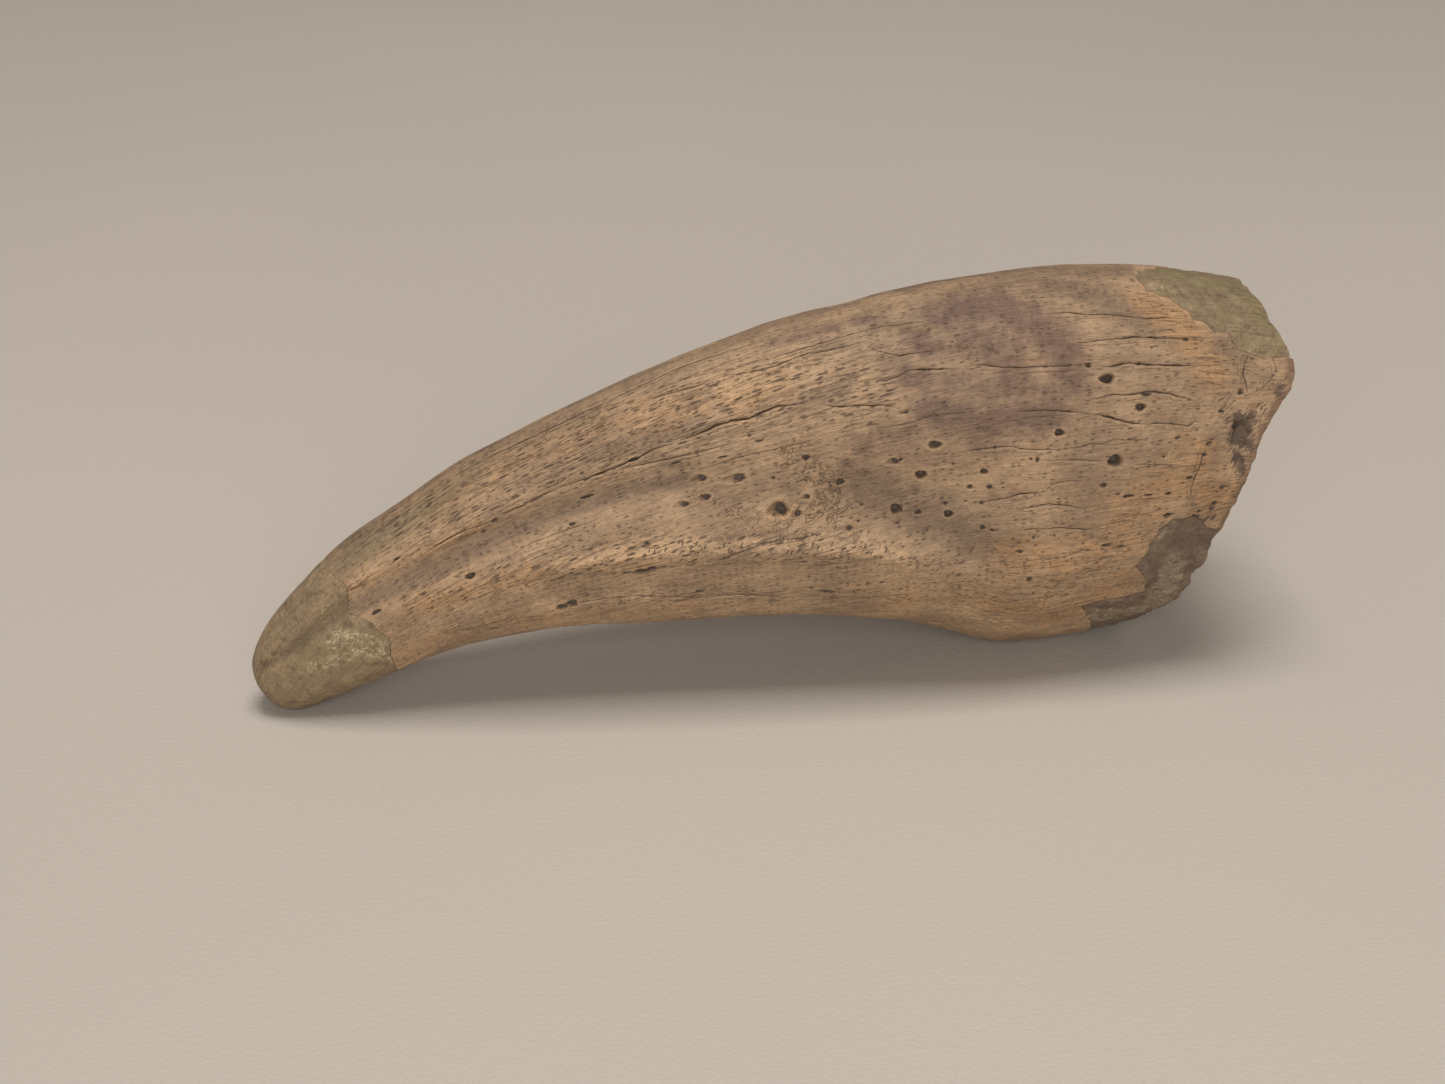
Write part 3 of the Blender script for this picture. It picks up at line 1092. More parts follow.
def both_sides(caster, rows):
    """Strokes of the near side cast from the picture, and their weaker echo on the far side."""
    near = [(strength, breadth, caster.places(line)) for strength, breadth, line in rows]
    far = [(strength * FAR_KEPT, breadth * FAR_SPREAD, turned_over(line)) for strength, breadth, line in near]
    return near + far


def pore_rows(caster):
    rows = []
    for x, y, width, stretch, depth, lip, slant in PORES_IN_PICTURE:
        half = width * MM / 2
        rows.append((*caster.picture(x, y), half, half * stretch, depth * MM, lip, slant))
    for i, (x, z, width, length) in enumerate(FAR_PORES):
        slant = FAR_SLANTS[i % len(FAR_SLANTS)]
        half_length = length * MM / 2 * (1 + 0.5 * slant)
        depth = width * FAR_PORE_DEPTH * MM
        rows.append((*caster.beside(x, z, 1), width * MM / 2, half_length, depth, FAR_PORE_LIP, slant))
    return rows


def slit_rows(caster):
    rows = []
    for x, y, length, width, depth in SLITS_IN_PICTURE:
        rows.append((*caster.picture(x, y), width * MM / 2, length * MM / 2, depth * MM, SLIT_LIP, 0.0))
    return rows


def scattered_rows(seed, count, stations, turns, half_breadths, half_lengths, depth):
    """Small pores or dashes scattered evenly over a patch of skin given by ranges."""
    dice = random.Random(seed)
    rows = []
    for _ in range(count):
        half = dice.uniform(*half_breadths) * MM
        length = max(half, dice.uniform(*half_lengths) * MM)
        rows.append((dice.uniform(*stations), dice.uniform(*turns), half, length, depth * MM, 0.1, 0.0))
    return rows


def hollow_rows(caster):
    rows = []
    for x, y, half_along, half_across, depth in HOLLOWS_IN_PICTURE:
        rows.append((*caster.picture(x, y), half_across * MM, half_along * MM, depth * MM, 0.0, 0.0))
    for x, z, half_along, half_across, depth in FAR_HOLLOWS:
        rows.append((*caster.beside(x, z, 1), half_across * MM, half_along * MM, depth * MM, 0.0, 0.0))
    return rows


def crack_rows(caster):
    near = [(opening, caster.places(line)) for opening, line in CRACKS_IN_PICTURE]
    far = [(opening, turned_over(line)) for opening, line in near[::2]]
    return near + far + list(UNDER_CRACKS)


# Scattered small pores: seed, count, ranges of stations, turns, half breadths and half lengths, and depth,
# with sizes in mm.
SPECK_PATCHES = (
    (13, 70, (10.8, 12.9), (1.5, 2.3), (0.15, 0.24), (0.2, 0.42), 0.3),
    (12, 40, (8.5, 11.0), (1.8, 2.5), (0.14, 0.22), (0.2, 0.5), 0.28),
    (14, 60, (4.6, 10.0), (-1.9, -0.5), (0.1, 0.16), (0.4, 0.9), 0.28),
    (15, 90, (8.5, 13.2), (-2.4, -0.9), (0.15, 0.34), (0.18, 0.5), 0.4),
    (16, 35, (5.0, 12.5), (2.5, 3.1), (0.15, 0.3), (0.25, 0.8), 0.3),
    (17, 35, (5.0, 12.5), (-3.1, -2.5), (0.15, 0.3), (0.25, 0.8), 0.3),
)

# Where the skin is refined: near pores, with their edge at 1, and near cracks of some width.
FINER_PORE_REACH = 1.7
FINER_SPECK_REACH = 1.3
FINER_CRACK_REACH = 0.5 * MM
FINER_CRACK_WIDTH = 0.1 * MM
FINEST_PORE_REACH = 1.35
FINEST_PORE_SIZE = 0.75 * MM
FINEST_CRACK_REACH = 0.22 * MM
FINEST_CRACK_WIDTH = 0.2 * MM

# Sizes and heights of the bone's own relief.
FIBRE_HEIGHT = 0.07 * MM
RIB_HEIGHT = 0.13 * MM
WEATHER_SIZE = 6.0 * MM
WEATHER_HEIGHT = 0.14 * MM
WORM_HEIGHT = 0.22 * MM
SPONGE_SIZE = 2.1 * MM
SPONGE_HEIGHT = 0.9 * MM
HOLLOW_ROUGH_SIZE = 0.8 * MM
HOLLOW_ROUGH_HEIGHT = 0.28 * MM


class BoneFeatures:
    """All the holes, cracks and tints of the bone, placed on the skin."""

    def __init__(self, skin, caster):
        self.skin = skin
        self.pores = Pores(skin, pore_rows(caster) + slit_rows(caster))
        self.specks = Pores(skin, [row for patch in SPECK_PATCHES for row in scattered_rows(*patch)])
        self.hollows = Pores(skin, hollow_rows(caster))
        self.cracks = Cracks(skin, crack_rows(caster))
        self.tints = {name: both_sides(caster, rows) for name, rows in BONE_TINTS.items()}

    def wants_finer(self, points):
        out, _ = self.pores.nearest(points)
        side, width = self.cracks.offsets(points)
        specks, _ = self.specks.nearest(points)
        on_crack = (np.abs(side) < FINER_CRACK_REACH) & (width > FINER_CRACK_WIDTH)
        return (out < FINER_PORE_REACH) | on_crack | (specks < FINER_SPECK_REACH)

    def wants_finest(self, points):
        out, size = self.pores.nearest(points)
        side, width = self.cracks.offsets(points)
        on_crack = (np.abs(side) < FINEST_CRACK_REACH) & (width > FINEST_CRACK_WIDTH)
        return ((out < FINEST_PORE_REACH) & (size < FINEST_PORE_SIZE)) | on_crack

    def relief(self, station, turn, points):
        """How far out every part of the bone's skin stands from the smooth claw."""
        skin = self.skin
        along, across = skin.grain(station, turn)
        on_side = smooth_step(0.0, 1.2 * MM, rim_distance(skin, station)) * (station <= LAST_STATION)
        fibres = grain_field(along, across, 11.0, 0.95, 1) * FIBRE_HEIGHT
        fibres += grain_field(along, across, 17.0, 2.3, 2) * RIB_HEIGHT
        weather = field(points, WEATHER_SIZE, 3) * WEATHER_HEIGHT
        worms = strokes(skin, points, self.tints["worms"])
        curls = np.abs(grain_field(along, across, 1.3, 0.7, 5)) * WORM_HEIGHT * worms
        pores, _, _ = self.pores.shape(points)
        specks, _, _ = self.specks.shape(points)
        side, width = self.cracks.offsets(points)
        groove = np.clip(1 - np.abs(side) / CRACK_HALF_BREADTH, 0, 1) * np.clip(width / (0.25 * MM), 0, 1.2)
        sunk = pores + specks + self.hollow_depth(points) - groove * CRACK_DEPTH
        skin_side = (fibres + weather + curls) * on_side + sunk * on_side
        spongy = -np.abs(field(points, SPONGE_SIZE, 6)) * SPONGE_HEIGHT
        spongy += field(points, SPONGE_SIZE * 0.45, 7) * SPONGE_HEIGHT * 0.35
        inside = (station > LAST_STATION) * smooth_step(0.0, 1.5 * MM, rim_distance(skin, station))
        inside *= smooth_step(LAST_STATION + FACE_SPAN * 0.97, LAST_STATION + FACE_SPAN * 0.75, station)
        return skin_side + spongy * inside

    def hollow_depth(self, points):
        rough = field(points, HOLLOW_ROUGH_SIZE, 8)
        moved = np.zeros(len(points))
        for row, near, out, _ in self.hollows.visit(points):
            ragged = out + rough[near] * 0.45
            moved[near] = np.minimum(moved[near], -smooth_step(1.15, 0.45, ragged) * row[4])
        return moved + (moved < 0) * rough * HOLLOW_ROUGH_HEIGHT

    def paint(self, mesh):
        """Writes the masks that the bone's finish reads."""
        places, known = skin_places(mesh)
        points = vertex_points(mesh)
        points[known] = self.skin.base(places[known, 0], places[known, 1])
        _, mouth, lip = self.pores.shape(points)
        _, speck, _ = self.specks.shape(points)
        side, width = self.cracks.offsets(points)
        set_values(mesh, "pore_mouth", mouth)
        set_values(mesh, "speck_mouth", speck)
        set_values(mesh, "lip", lip)
        set_values(mesh, "crack_side", side / MM)
        set_values(mesh, "crack_width", width / MM)
        for name, rows in self.tints.items():
            set_values(mesh, name, strokes(self.skin, points, rows) * (places[:, 0] <= LAST_STATION))
        face = (places[:, 0] > LAST_STATION) & known
        from_rim = rim_distance(self.skin, places[:, 0])
        set_values(mesh, "joint_face", smooth_step(0.2 * MM, 1.4 * MM, from_rim) * face)
        set_values(mesh, "rim", np.exp(-((from_rim / RIM_STAIN_REACH) ** 2)) * known)
        depth = np.clip(-self.hollow_depth(points) / (0.5 * MM), 0, 1)
        set_values(mesh, "hollow", depth * (places[:, 0] <= LAST_STATION))


def tip_relief(points):
    """Smooth moulded filler, level with the bone."""
    return field(points, 4.0 * MM, 21) * 0.10 * MM + field(points, 1.6 * MM, 22) * 0.05 * MM


def upper_relief(points):
    """Filler laid on by hand, a little below the bone, with a nibbled edge."""
    return field(points, 3.2 * MM, 31) * 0.26 * MM + field(points, 1.2 * MM, 32) * 0.15 * MM - 0.28 * MM


def lower_relief(points):
    """Chipped, slightly flaky filler."""
    flakes = np.abs(field(points, 2.4 * MM, 41)) * 0.62 * MM
    return flakes + np.abs(field(points, 1.1 * MM, 42)) * 0.2 * MM - 0.34 * MM


# Edges that bend by more degrees than this are shaded sharp.
SHARP_ANGLE = 62


def finished(name, piece_mesh, node, slot, finish):
    """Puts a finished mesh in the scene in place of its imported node."""
    piece = linked(name, piece_mesh)
    piece_mesh.materials.clear()
    piece_mesh.materials.append(finish)
    piece_mesh.shade_smooth()
    piece_mesh.set_sharp_from_angle(angle=math.radians(SHARP_ANGLE))
    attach(piece, "root")
    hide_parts(node)
    return piece


def triangulated(mesh):
    bm = bmesh.new()
    bm.from_mesh(mesh)
    bmesh.ops.triangulate(bm, faces=[f for f in bm.faces if len(f.verts) > 4])
    bm.to_mesh(mesh)
    bm.free()


def cut_skin(name, bm, skin, relief, prisms, operation):
    """The mesh of a skin with its relief and flat feet, cut along the joints between bone and filler."""
    mesh = as_mesh(name, bm)
    reshape(mesh, skin, relief)
    flat_feet(mesh)
    body = linked("body_" + name, mesh)
    cut_by(body, prisms, operation)
    mesh = body.data
    bpy.data.objects.remove(body)
    triangulated(mesh)
    return mesh


def make_bone(skin, features, areas, finish):
    rows = even_rows(skin, BONE_FIRST_STATION, BONE_RINGS, FACE_RING_COUNT)
    bm = sampled_skin(skin, rows, even_turns(FAR_COLUMNS, NEAR_COLUMNS), False, True)
    refine(bm, skin, features.wants_finer)
    refine(bm, skin, features.wants_finest)
    prisms = [
        outline_prism("socket_" + area["slot"], area["outline"], area["skew"], HAIRLINE, seed)
        for seed, area in enumerate(areas)
    ]
    mesh = cut_skin("fossil_claw_bone", bm, skin, features.relief, prisms, "DIFFERENCE")
    features.paint(mesh)
    grain_map(mesh, skin)
    return finished("fossil_claw_bone", mesh, "claw_bone", "fossil_bone", finish)


# Tints of the restored areas, as brush strokes on the picture. A band is darker and sunk in a little, such as
# where the groove runs on over the tip. A patch is pale and crackled.
TIP_BAND_IN_PICTURE = (
    (0.9, 0.8, ((262, 668), (300, 646), (348, 610))), (1.0, 0.25, ((270, 657), (305, 636), (345, 606))),
    (0.7, 0.2, ((292, 662), (318, 644), (344, 622))), (0.7, 0.2, ((300, 612), (330, 592), (346, 584))),
    (0.4, 0.9, ((262, 640), (300, 602))),
)
TIP_PATCH_IN_PICTURE = (
    (1.0, 2.2, ((340, 640), (366, 645), (382, 654))), (0.6, 1.5, ((312, 668), (345, 656))),
)
UPPER_BAND_IN_PICTURE = (
    (0.8, 1.0, ((1160, 299), (1195, 314), (1226, 332))), (0.5, 1.3, ((1190, 280), (1240, 310))),
)
UPPER_PATCH_IN_PICTURE = ((0.5, 0.9, ((1152, 284), (1178, 290))), (0.5, 0.8, ((1236, 345), (1262, 352))))
TIP_MOSS_IN_PICTURE = ((0.35, 2.6, ((310, 664), (345, 650), (380, 648))),)
UPPER_MOSS_IN_PICTURE = ((0.7, 1.1, ((1146, 266), (1200, 269), (1240, 287), (1262, 316))),)
LOWER_BAND_IN_PICTURE = (
    (0.9, 1.5, ((1178, 545), (1212, 545), (1222, 560))), (0.6, 0.8, ((1150, 560), (1160, 590))),
)
LOWER_PATCH_IN_PICTURE = (
    (0.7, 0.8, ((1158, 541), (1172, 530))), (0.4, 0.8, ((1168, 556), (1186, 562))),
    (1.0, 2.6, ((1092, 616), (1120, 616), (1150, 608), (1185, 592))),
)
BAND_DEPTH = 0.28 * MM


def make_filler(skin, caster, seed, area):
    """One restored area: the skin inside its outline, closed by the joint with the bone."""
    name = area["name"]
    tints = {tint: both_sides(caster, area[tint]) for tint in ("band", "patch", "moss")}

    def relief(station, turn, points):
        return area["relief"](points) - BAND_DEPTH * strokes(skin, points, tints["band"])

    is_tip = seed == 0
    rows = tip_rows(skin, *area["rows"]) if is_tip else even_rows(skin, *area["rows"])
    bm = sampled_skin(skin, rows, even_turns(*area["columns"]), is_tip, not is_tip)
    prism = outline_prism("shape_" + name, area["outline"], area["skew"], 0.0, seed)
    mesh = cut_skin(name, bm, skin, relief, [prism], "INTERSECT")
    for tint, rows in tints.items():
        set_values(mesh, tint, strokes(skin, vertex_points(mesh), rows))
    grain_map(mesh, skin)
    finish = filler_finish(area["slot"] + "_finish", *area["colours"], *area["finish"])
    return finished(name, mesh, area["node"], area["slot"], finish)


class Shade:
    """A short way to build a material's nodes."""

    def __init__(self, name):
        self.material = bpy.data.materials.new(name)
        self.material.use_nodes = True
        self.tree = self.material.node_tree
        self.shader = self.tree.nodes["Principled BSDF"]

    def feed(self, socket, value):
        if isinstance(value, bpy.types.NodeSocket):
            self.tree.links.new(value, socket)
        elif socket.type == "RGBA":
            socket.default_value = (*value, 1.0)
        else:
            socket.default_value = value

    def shader_input(self, name, value):
        self.feed(self.shader.inputs[name], value)

    def made(self, kind, output, inputs, **settings):
        """One output of a new node with its inputs fed."""
        node = self.tree.nodes.new(kind)
        for key, value in settings.items():
            setattr(node, key, value)
        for key, value in inputs.items():
            self.feed(node.inputs[key], value)
        return node.outputs[output]

    def mask(self, name):
        return self.made("ShaderNodeAttribute", "Fac", {}, attribute_name=name)

    def place(self):
        return self.made("ShaderNodeTexCoord", "Object", {})

    def grain(self, along, across, seed, turned=0.0):
        """The grain map, turned by degrees, with one noise unit every so many mm along and across."""
        uv = self.made("ShaderNodeUVMap", "UV", {}, uv_map=GRAIN_MAP)
        if turned:
            rotation = (0.0, 0.0, math.radians(turned))
            uv = self.made("ShaderNodeMapping", "Vector", {"Vector": uv, "Rotation": rotation})
        scale = (1 / along, 1 / across, 1.0)
        shift = (seed * 3.7, seed * 1.9, seed * 5.3)
        return self.made("ShaderNodeMapping", "Vector", {"Vector": uv, "Scale": scale, "Location": shift})

    def noise(self, vector, scale=1.0, detail=2.0, rough=0.5, distortion=0.0):
        return self.made("ShaderNodeTexNoise", "Fac", {
            "Vector": vector, "Scale": scale, "Detail": detail, "Roughness": rough, "Distortion": distortion,
        })

    def warped(self, vector, scale, amount):
        """A vector pushed about by a noise, which bends whatever is drawn with it."""
        stir = self.made("ShaderNodeTexNoise", "Color", {"Vector": vector, "Scale": scale, "Detail": 1.0})
        centred = self.vector_maths("SUBTRACT", stir, (0.5, 0.5, 0.5))
        return self.vector_maths("ADD", vector, self.times(centred, amount))

    def cells(self, vector, scale=1.0, spread=1.0):
        """Distance to, and a random value of, the nearest scattered cell middle."""
        inputs = {"Vector": vector, "Scale": scale, "Randomness": spread}
        distance = self.made("ShaderNodeTexVoronoi", "Distance", inputs)
        colour = distance.node.outputs["Color"]
        return distance, self.made("ShaderNodeSeparateColor", "Red", {"Color": colour})

    def maths(self, operation, first, second=0.0):
        return self.made("ShaderNodeMath", "Value", {0: first, 1: second}, operation=operation)

    def vector_maths(self, operation, first, second):
        return self.made("ShaderNodeVectorMath", "Vector", {0: first, 1: second}, operation=operation)

    def chained(self, operation, values):
        result = values[0]
        for value in values[1:]:
            result = self.maths(operation, result, value)
        return result

    def product(self, *values):
        return self.chained("MULTIPLY", values)

    def total(self, *values):
        return self.chained("ADD", values)

    def largest(self, *values):
        return self.chained("MAXIMUM", values)

    def less(self, first, second):
        return self.maths("SUBTRACT", first, second)

    def apart(self, first, second):
        """How far two values are from each other."""
        return self.maths("ABSOLUTE", self.less(first, second))

    def ranged(self, value, low, high, first=0.0, last=1.0, smooth=True):
        """The value's way from low to high, as a number from first to last."""
        inputs = {"Value": value, "From Min": low, "From Max": high, "To Min": first, "To Max": last}
        kind = "SMOOTHSTEP" if smooth else "LINEAR"
        return self.made("ShaderNodeMapRange", "Result", inputs, interpolation_type=kind)

    def swing(self, pattern, first, last):
        """A noise pattern turned into a number that swings from first to last."""
        return self.ranged(pattern, 0.3, 0.7, first, last, False)

    def mix(self, first, second, share):
        return self.made("ShaderNodeMix", 2, {0: share, 6: first, 7: second}, data_type="RGBA")

    def times(self, colour, value):
        """A colour made lighter or darker by a number, or a vector made longer or shorter."""
        return self.made("ShaderNodeVectorMath", "Vector", {0: colour, "Scale": value}, operation="SCALE")

    def bump(self, height):
        """Adds height, in mm, to the shading."""
        return self.made("ShaderNodeBump", "Normal", {"Distance": MM, "Strength": 1.0, "Height": height})


def linear(*screen):
    """Linear light values of a screen colour given from 0 to 255."""
    return tuple(((c / 255 + 0.055) / 1.055) ** 2.4 if c > 10 else c / 255 / 12.92 for c in screen)


BONE_TAN = linear(154, 127, 98)
BONE_LIGHT = linear(170, 141, 109)
BONE_BROWN = linear(132, 108, 84)
BONE_PURPLE = linear(93, 72, 62)
BONE_GREY = linear(101, 83, 66)
BONE_ORANGE = linear(152, 117, 81)
BONE_RUST = linear(128, 91, 58)
PORE_DARK = linear(84, 73, 64)
CRACK_DARK = linear(60, 47, 37)
DASH_DARK = linear(72, 56, 44)
BONE_OLIVE = linear(118, 102, 78)
RIM_BROWN = linear(104, 80, 60)
CAVITY_DARK = linear(78, 65, 55)
FACE_BROWN = linear(140, 117, 91)
FACE_DARK = linear(92, 76, 60)
FILLER_OLIVE = linear(132, 113, 86)
FILLER_GREEN = linear(116, 101, 75)
FILLER_BROWN = linear(122, 104, 79)
FILLER_DARK = linear(96, 81, 62)
FILLER_MOSS = linear(116, 108, 72)
FILLER_WHITE = linear(184, 172, 138)
FILLER_PALE = linear(156, 140, 108)
LOWER_GREY = linear(108, 91, 74)
LOWER_BROWN = linear(98, 82, 66)
LOWER_PALE = linear(160, 142, 118)
LOWER_DARK = linear(78, 64, 52)


SOFT_SHINE = 0.35

# Painted stains of the bone: the stroke mask, its colour and its strength.
STAINS = (
    ("grey", BONE_GREY, 0.85),
    ("orange", BONE_ORANGE, 0.7),
    ("pale", BONE_LIGHT, 0.75),
    ("purple", BONE_PURPLE, 0.85),
    ("olive", BONE_OLIVE, 0.9),
)


def fine_lines(s, along, across, seed, breadth, broken_along):
    """Thin wandering lines along the grain, broken into stretches, from 0 to 1."""
    winding = s.noise(s.grain(along, across, seed), 1.0, 2.0, 0.5, 0.1)
    line = s.ranged(s.apart(winding, 0.5), breadth, breadth * 0.2)
    gaps = s.noise(s.grain(broken_along, across * 0.8, seed + 9), 1.0, 1.0, 0.5)
    return s.product(line, s.ranged(gaps, 0.44, 0.56))


def scattered_dashes(s, along, across, seed, kept, turned=0.0):
    """Short dashes in rows along the grain, from 0 to 1."""
    distance, pick = s.cells(s.grain(along, across, seed, turned), 1.0, 0.8)
    dash = s.ranged(distance, 0.31, 0.19)
    return s.product(dash, s.ranged(pick, kept + 0.04, kept - 0.04))


class BonePatterns:
    """The noises that several parts of the bone's finish share, from large to small and along the grain."""

    def __init__(self, s):
        self.place = s.place()
        self.broad = s.noise(self.place, 95, 3, 0.55)
        self.middling = s.noise(self.place, 420, 3, 0.6)
        self.grit = s.noise(self.place, 1150, 2, 0.6)
        self.speckle = s.noise(self.place, 2200, 2, 0.6)
        self.streaks = s.noise(s.grain(4.6, 1.0, 1), 1.0, 3, 0.6, 0.4)
        self.hairs = s.noise(s.grain(1.9, 0.28, 2), 1.0, 2, 0.55, 0.3)


def stained_bone(s, p):
    """The bone's tan with its painted stains, whose edges noise makes ragged."""
    colour = s.mix(BONE_BROWN, BONE_TAN, s.ranged(p.broad, 0.36, 0.62))
    colour = s.mix(colour, BONE_LIGHT, s.ranged(s.product(p.streaks, p.middling), 0.26, 0.46, 0.0, 0.4))
    patchy = s.total(s.product(p.middling, 0.9), s.product(p.broad, 0.7))
    patchy = s.ranged(patchy, 0.55, 1.05, -0.34, 0.34, False)
    fine = s.swing(p.speckle, -0.12, 0.12)
    for name, tint, strength in STAINS:
        ragged = s.total(s.mask(name), patchy, fine)
        painted = s.ranged(s.mask(name), 0.0, 0.25, 0.0, strength)
        colour = s.mix(colour, tint, s.product(s.ranged(ragged, 0.08, 1.05), painted))
    return colour


def bone_lightness(s, p, ribs):
    """The fine grain, and a slow fall from the tip to the joint end."""
    along = s.made("ShaderNodeSeparateXYZ", "X", {"Vector": s.grain(1.0, 1.0, 0)})
    return s.product(
        s.swing(p.streaks, 0.97, 1.03),
        s.ranged(along, 30.0, 150.0, 1.07, 0.96, False),
        s.swing(p.hairs, 0.91, 1.09),
        s.swing(p.grit, 0.90, 1.10),
        s.swing(p.speckle, 0.90, 1.10),
        s.total(ribs, 1.0),
    )


def bone_dashes(s, p):
    """Dark dashes along the grain, thick where they are painted, and slanting ticks."""
    dense = s.ranged(s.mask("dashes"), 0.05, 0.8)
    sparse = s.ranged(p.middling, 0.35, 0.6, 0.35, 0.75)
    ticks = s.ranged(s.mask("ticks"), 0.15, 0.6)
    return s.largest(
        s.product(scattered_dashes(s, 1.75, 0.47, 3, 0.85), dense),
        s.product(scattered_dashes(s, 2.7, 0.62, 4, 0.42), s.ranged(dense, 0.0, 1.0, 0.2, 1.0)),
        s.product(scattered_dashes(s, 1.15, 0.40, 24, 0.55), sparse),
        s.product(scattered_dashes(s, 1.3, 0.40, 21, 0.62, 48.0), ticks),
    )


def bone_lines(s):
    """Fine dark lines and low ribs along the grain, clearest in the dashed and orange areas."""
    dense = s.ranged(s.mask("dashes"), 0.05, 0.8)
    lined = s.largest(s.ranged(dense, 0.0, 0.8, 0.4, 1.0), s.ranged(s.mask("orange"), 0.2, 0.8))
    lines = s.largest(fine_lines(s, 16.0, 1.3, 11, 0.03, 5.0), fine_lines(s, 9.0, 0.7, 12, 0.025, 3.0))
    ribs = s.noise(s.grain(10.0, 0.44, 22), 1.0, 2, 0.5, 0.1)
    ribs = s.ranged(ribs, 0.32, 0.68, -0.10, 0.07, False)
    return s.product(lines, lined), s.product(ribs, lined)


def bone_worms(s, p):
    """Fine curling tracks in painted patches."""
    curl = s.noise(s.warped(s.grain(1.9, 1.35, 15), 1.2, 0.9), 1.0, 1.0, 0.5)
    curl = s.apart(s.apart(curl, 0.5), 0.06)
    patchy = s.product(s.mask("worms"), s.ranged(p.middling, 0.3, 0.6, 0.5, 1.4))
    return s.product(s.ranged(curl, 0.030, 0.006), s.ranged(patchy, 0.25, 1.0))


def bone_pits(s, p):
    """Small rusty pits in painted patches."""
    distance, pick = s.cells(p.place, 780)
    pits = s.product(s.ranged(distance, 0.28, 0.12), s.ranged(pick, 0.36, 0.44))
    return s.product(pits, s.ranged(s.mask("pits"), 0.1, 0.7))


def bone_cavity(s):
    """Where the bone is broken out and dark, and the loose bits there."""
    bits = s.swing(s.noise(s.grain(1.1, 0.4, 23, 55.0), 1.0, 3, 0.65), -0.45, 0.45)
    cavity = s.total(s.product(s.mask("hollow"), 0.4), s.mask("cavity"))
    crumbled = s.product(bits, s.ranged(cavity, 0.05, 0.3))
    return s.ranged(s.total(cavity, crumbled), 0.5, 0.85), bits


def spongy_face(s, p):
    """The colour of the joint face, and its holes."""
    sponge = s.mix(FACE_DARK, FACE_BROWN, s.ranged(s.noise(p.place, 700, 4, 0.72), 0.32, 0.47))
    sponge = s.mix(sponge, BONE_LIGHT, s.ranged(p.middling, 0.5, 0.72, 0.0, 0.8))
    distance, pick = s.cells(s.warped(p.place, 900, 0.0008), 640)
    holes = s.ranged(distance, s.product(pick, 0.28), s.product(pick, 0.10))
    holes = s.product(holes, s.ranged(pick, 0.35, 0.5))
    sponge = s.times(sponge, s.swing(p.speckle, 0.85, 1.12))
    return s.mix(sponge, PORE_DARK, s.product(holes, 0.65)), holes


def bone_cracks(s):
    """The dark inside of the cracks."""
    width = s.mask("crack_width")
    crack = s.maths("ABSOLUTE", s.mask("crack_side"))
    crack = s.ranged(crack, s.product(width, 0.60), s.product(width, 0.20))
    return s.product(crack, s.ranged(width, 0.02, 0.07))


def bone_mouths(s):
    """The dark inside of the pores, and fainter of the small ones."""
    pore = s.ranged(s.mask("pore_mouth"), 1.0, 0.72)
    speck = s.ranged(s.mask("speck_mouth"), 1.15, 0.6)
    return s.largest(pore, s.product(speck, 0.6))


def bone_height(s, p, ribs, holes, cuts):
    """Height of the finest relief in mm, on the sides and on the joint face."""
    height = s.total(
        s.swing(p.streaks, 0.0, 0.08),
        s.swing(p.hairs, 0.0, 0.04),
        s.swing(p.grit, 0.0, 0.06),
        s.swing(p.speckle, 0.0, 0.03),
        s.product(ribs, 0.5),
    )
    for cut, depth in cuts:
        height = s.less(height, s.product(cut, depth))
    face = s.mask("joint_face")
    rough = s.less(s.swing(p.middling, 0.0, 0.25), s.product(holes, 0.3))
    return s.total(s.product(height, s.less(1.0, face)), s.product(rough, face))


def bone_finish():
    s = Shade("fossil_bone_finish")
    p = BonePatterns(s)
    dashes = bone_dashes(s, p)
    lines, ribs = bone_lines(s)
    worms = bone_worms(s, p)
    pits = bone_pits(s, p)
    cavity, bits = bone_cavity(s)
    sponge, holes = spongy_face(s, p)
    crack = bone_cracks(s)
    rim = s.product(s.mask("rim"), s.ranged(p.middling, 0.3, 0.7, 0.5, 1.1))
    in_cavity = s.mix(CAVITY_DARK, BONE_GREY, s.ranged(p.grit, 0.4, 0.7))

    colour = s.times(stained_bone(s, p), bone_lightness(s, p, ribs))
    for tint, share in (
        (RIM_BROWN, s.ranged(rim, 0.1, 0.8, 0.0, 0.9)),
        (BONE_RUST, s.product(pits, 0.8)),
        (DASH_DARK, s.product(dashes, 0.85)),
        (DASH_DARK, s.product(lines, 0.45)),
        (DASH_DARK, s.product(worms, 0.5)),
        (BONE_LIGHT, s.product(s.mask("lip"), 0.35)),
        (in_cavity, s.product(cavity, 0.92)),
        (sponge, s.mask("joint_face")),
        (CRACK_DARK, s.product(crack, 0.88)),
        (PORE_DARK, bone_mouths(s)),
    ):
        colour = s.mix(colour, tint, share)
    loose = s.product(bits, cavity)
    cuts = ((loose, 0.3), (dashes, 0.14), (lines, 0.09), (pits, 0.12), (worms, 0.12), (crack, 0.15))
    s.shader_input("Base Color", colour)
    s.shader_input("Roughness", s.ranged(p.middling, 0.3, 0.7, 0.58, 0.72))
    s.shader_input("Specular IOR Level", SOFT_SHINE)
    s.shader_input("Normal", s.bump(bone_height(s, p, ribs, holes, cuts)))
    return s.material


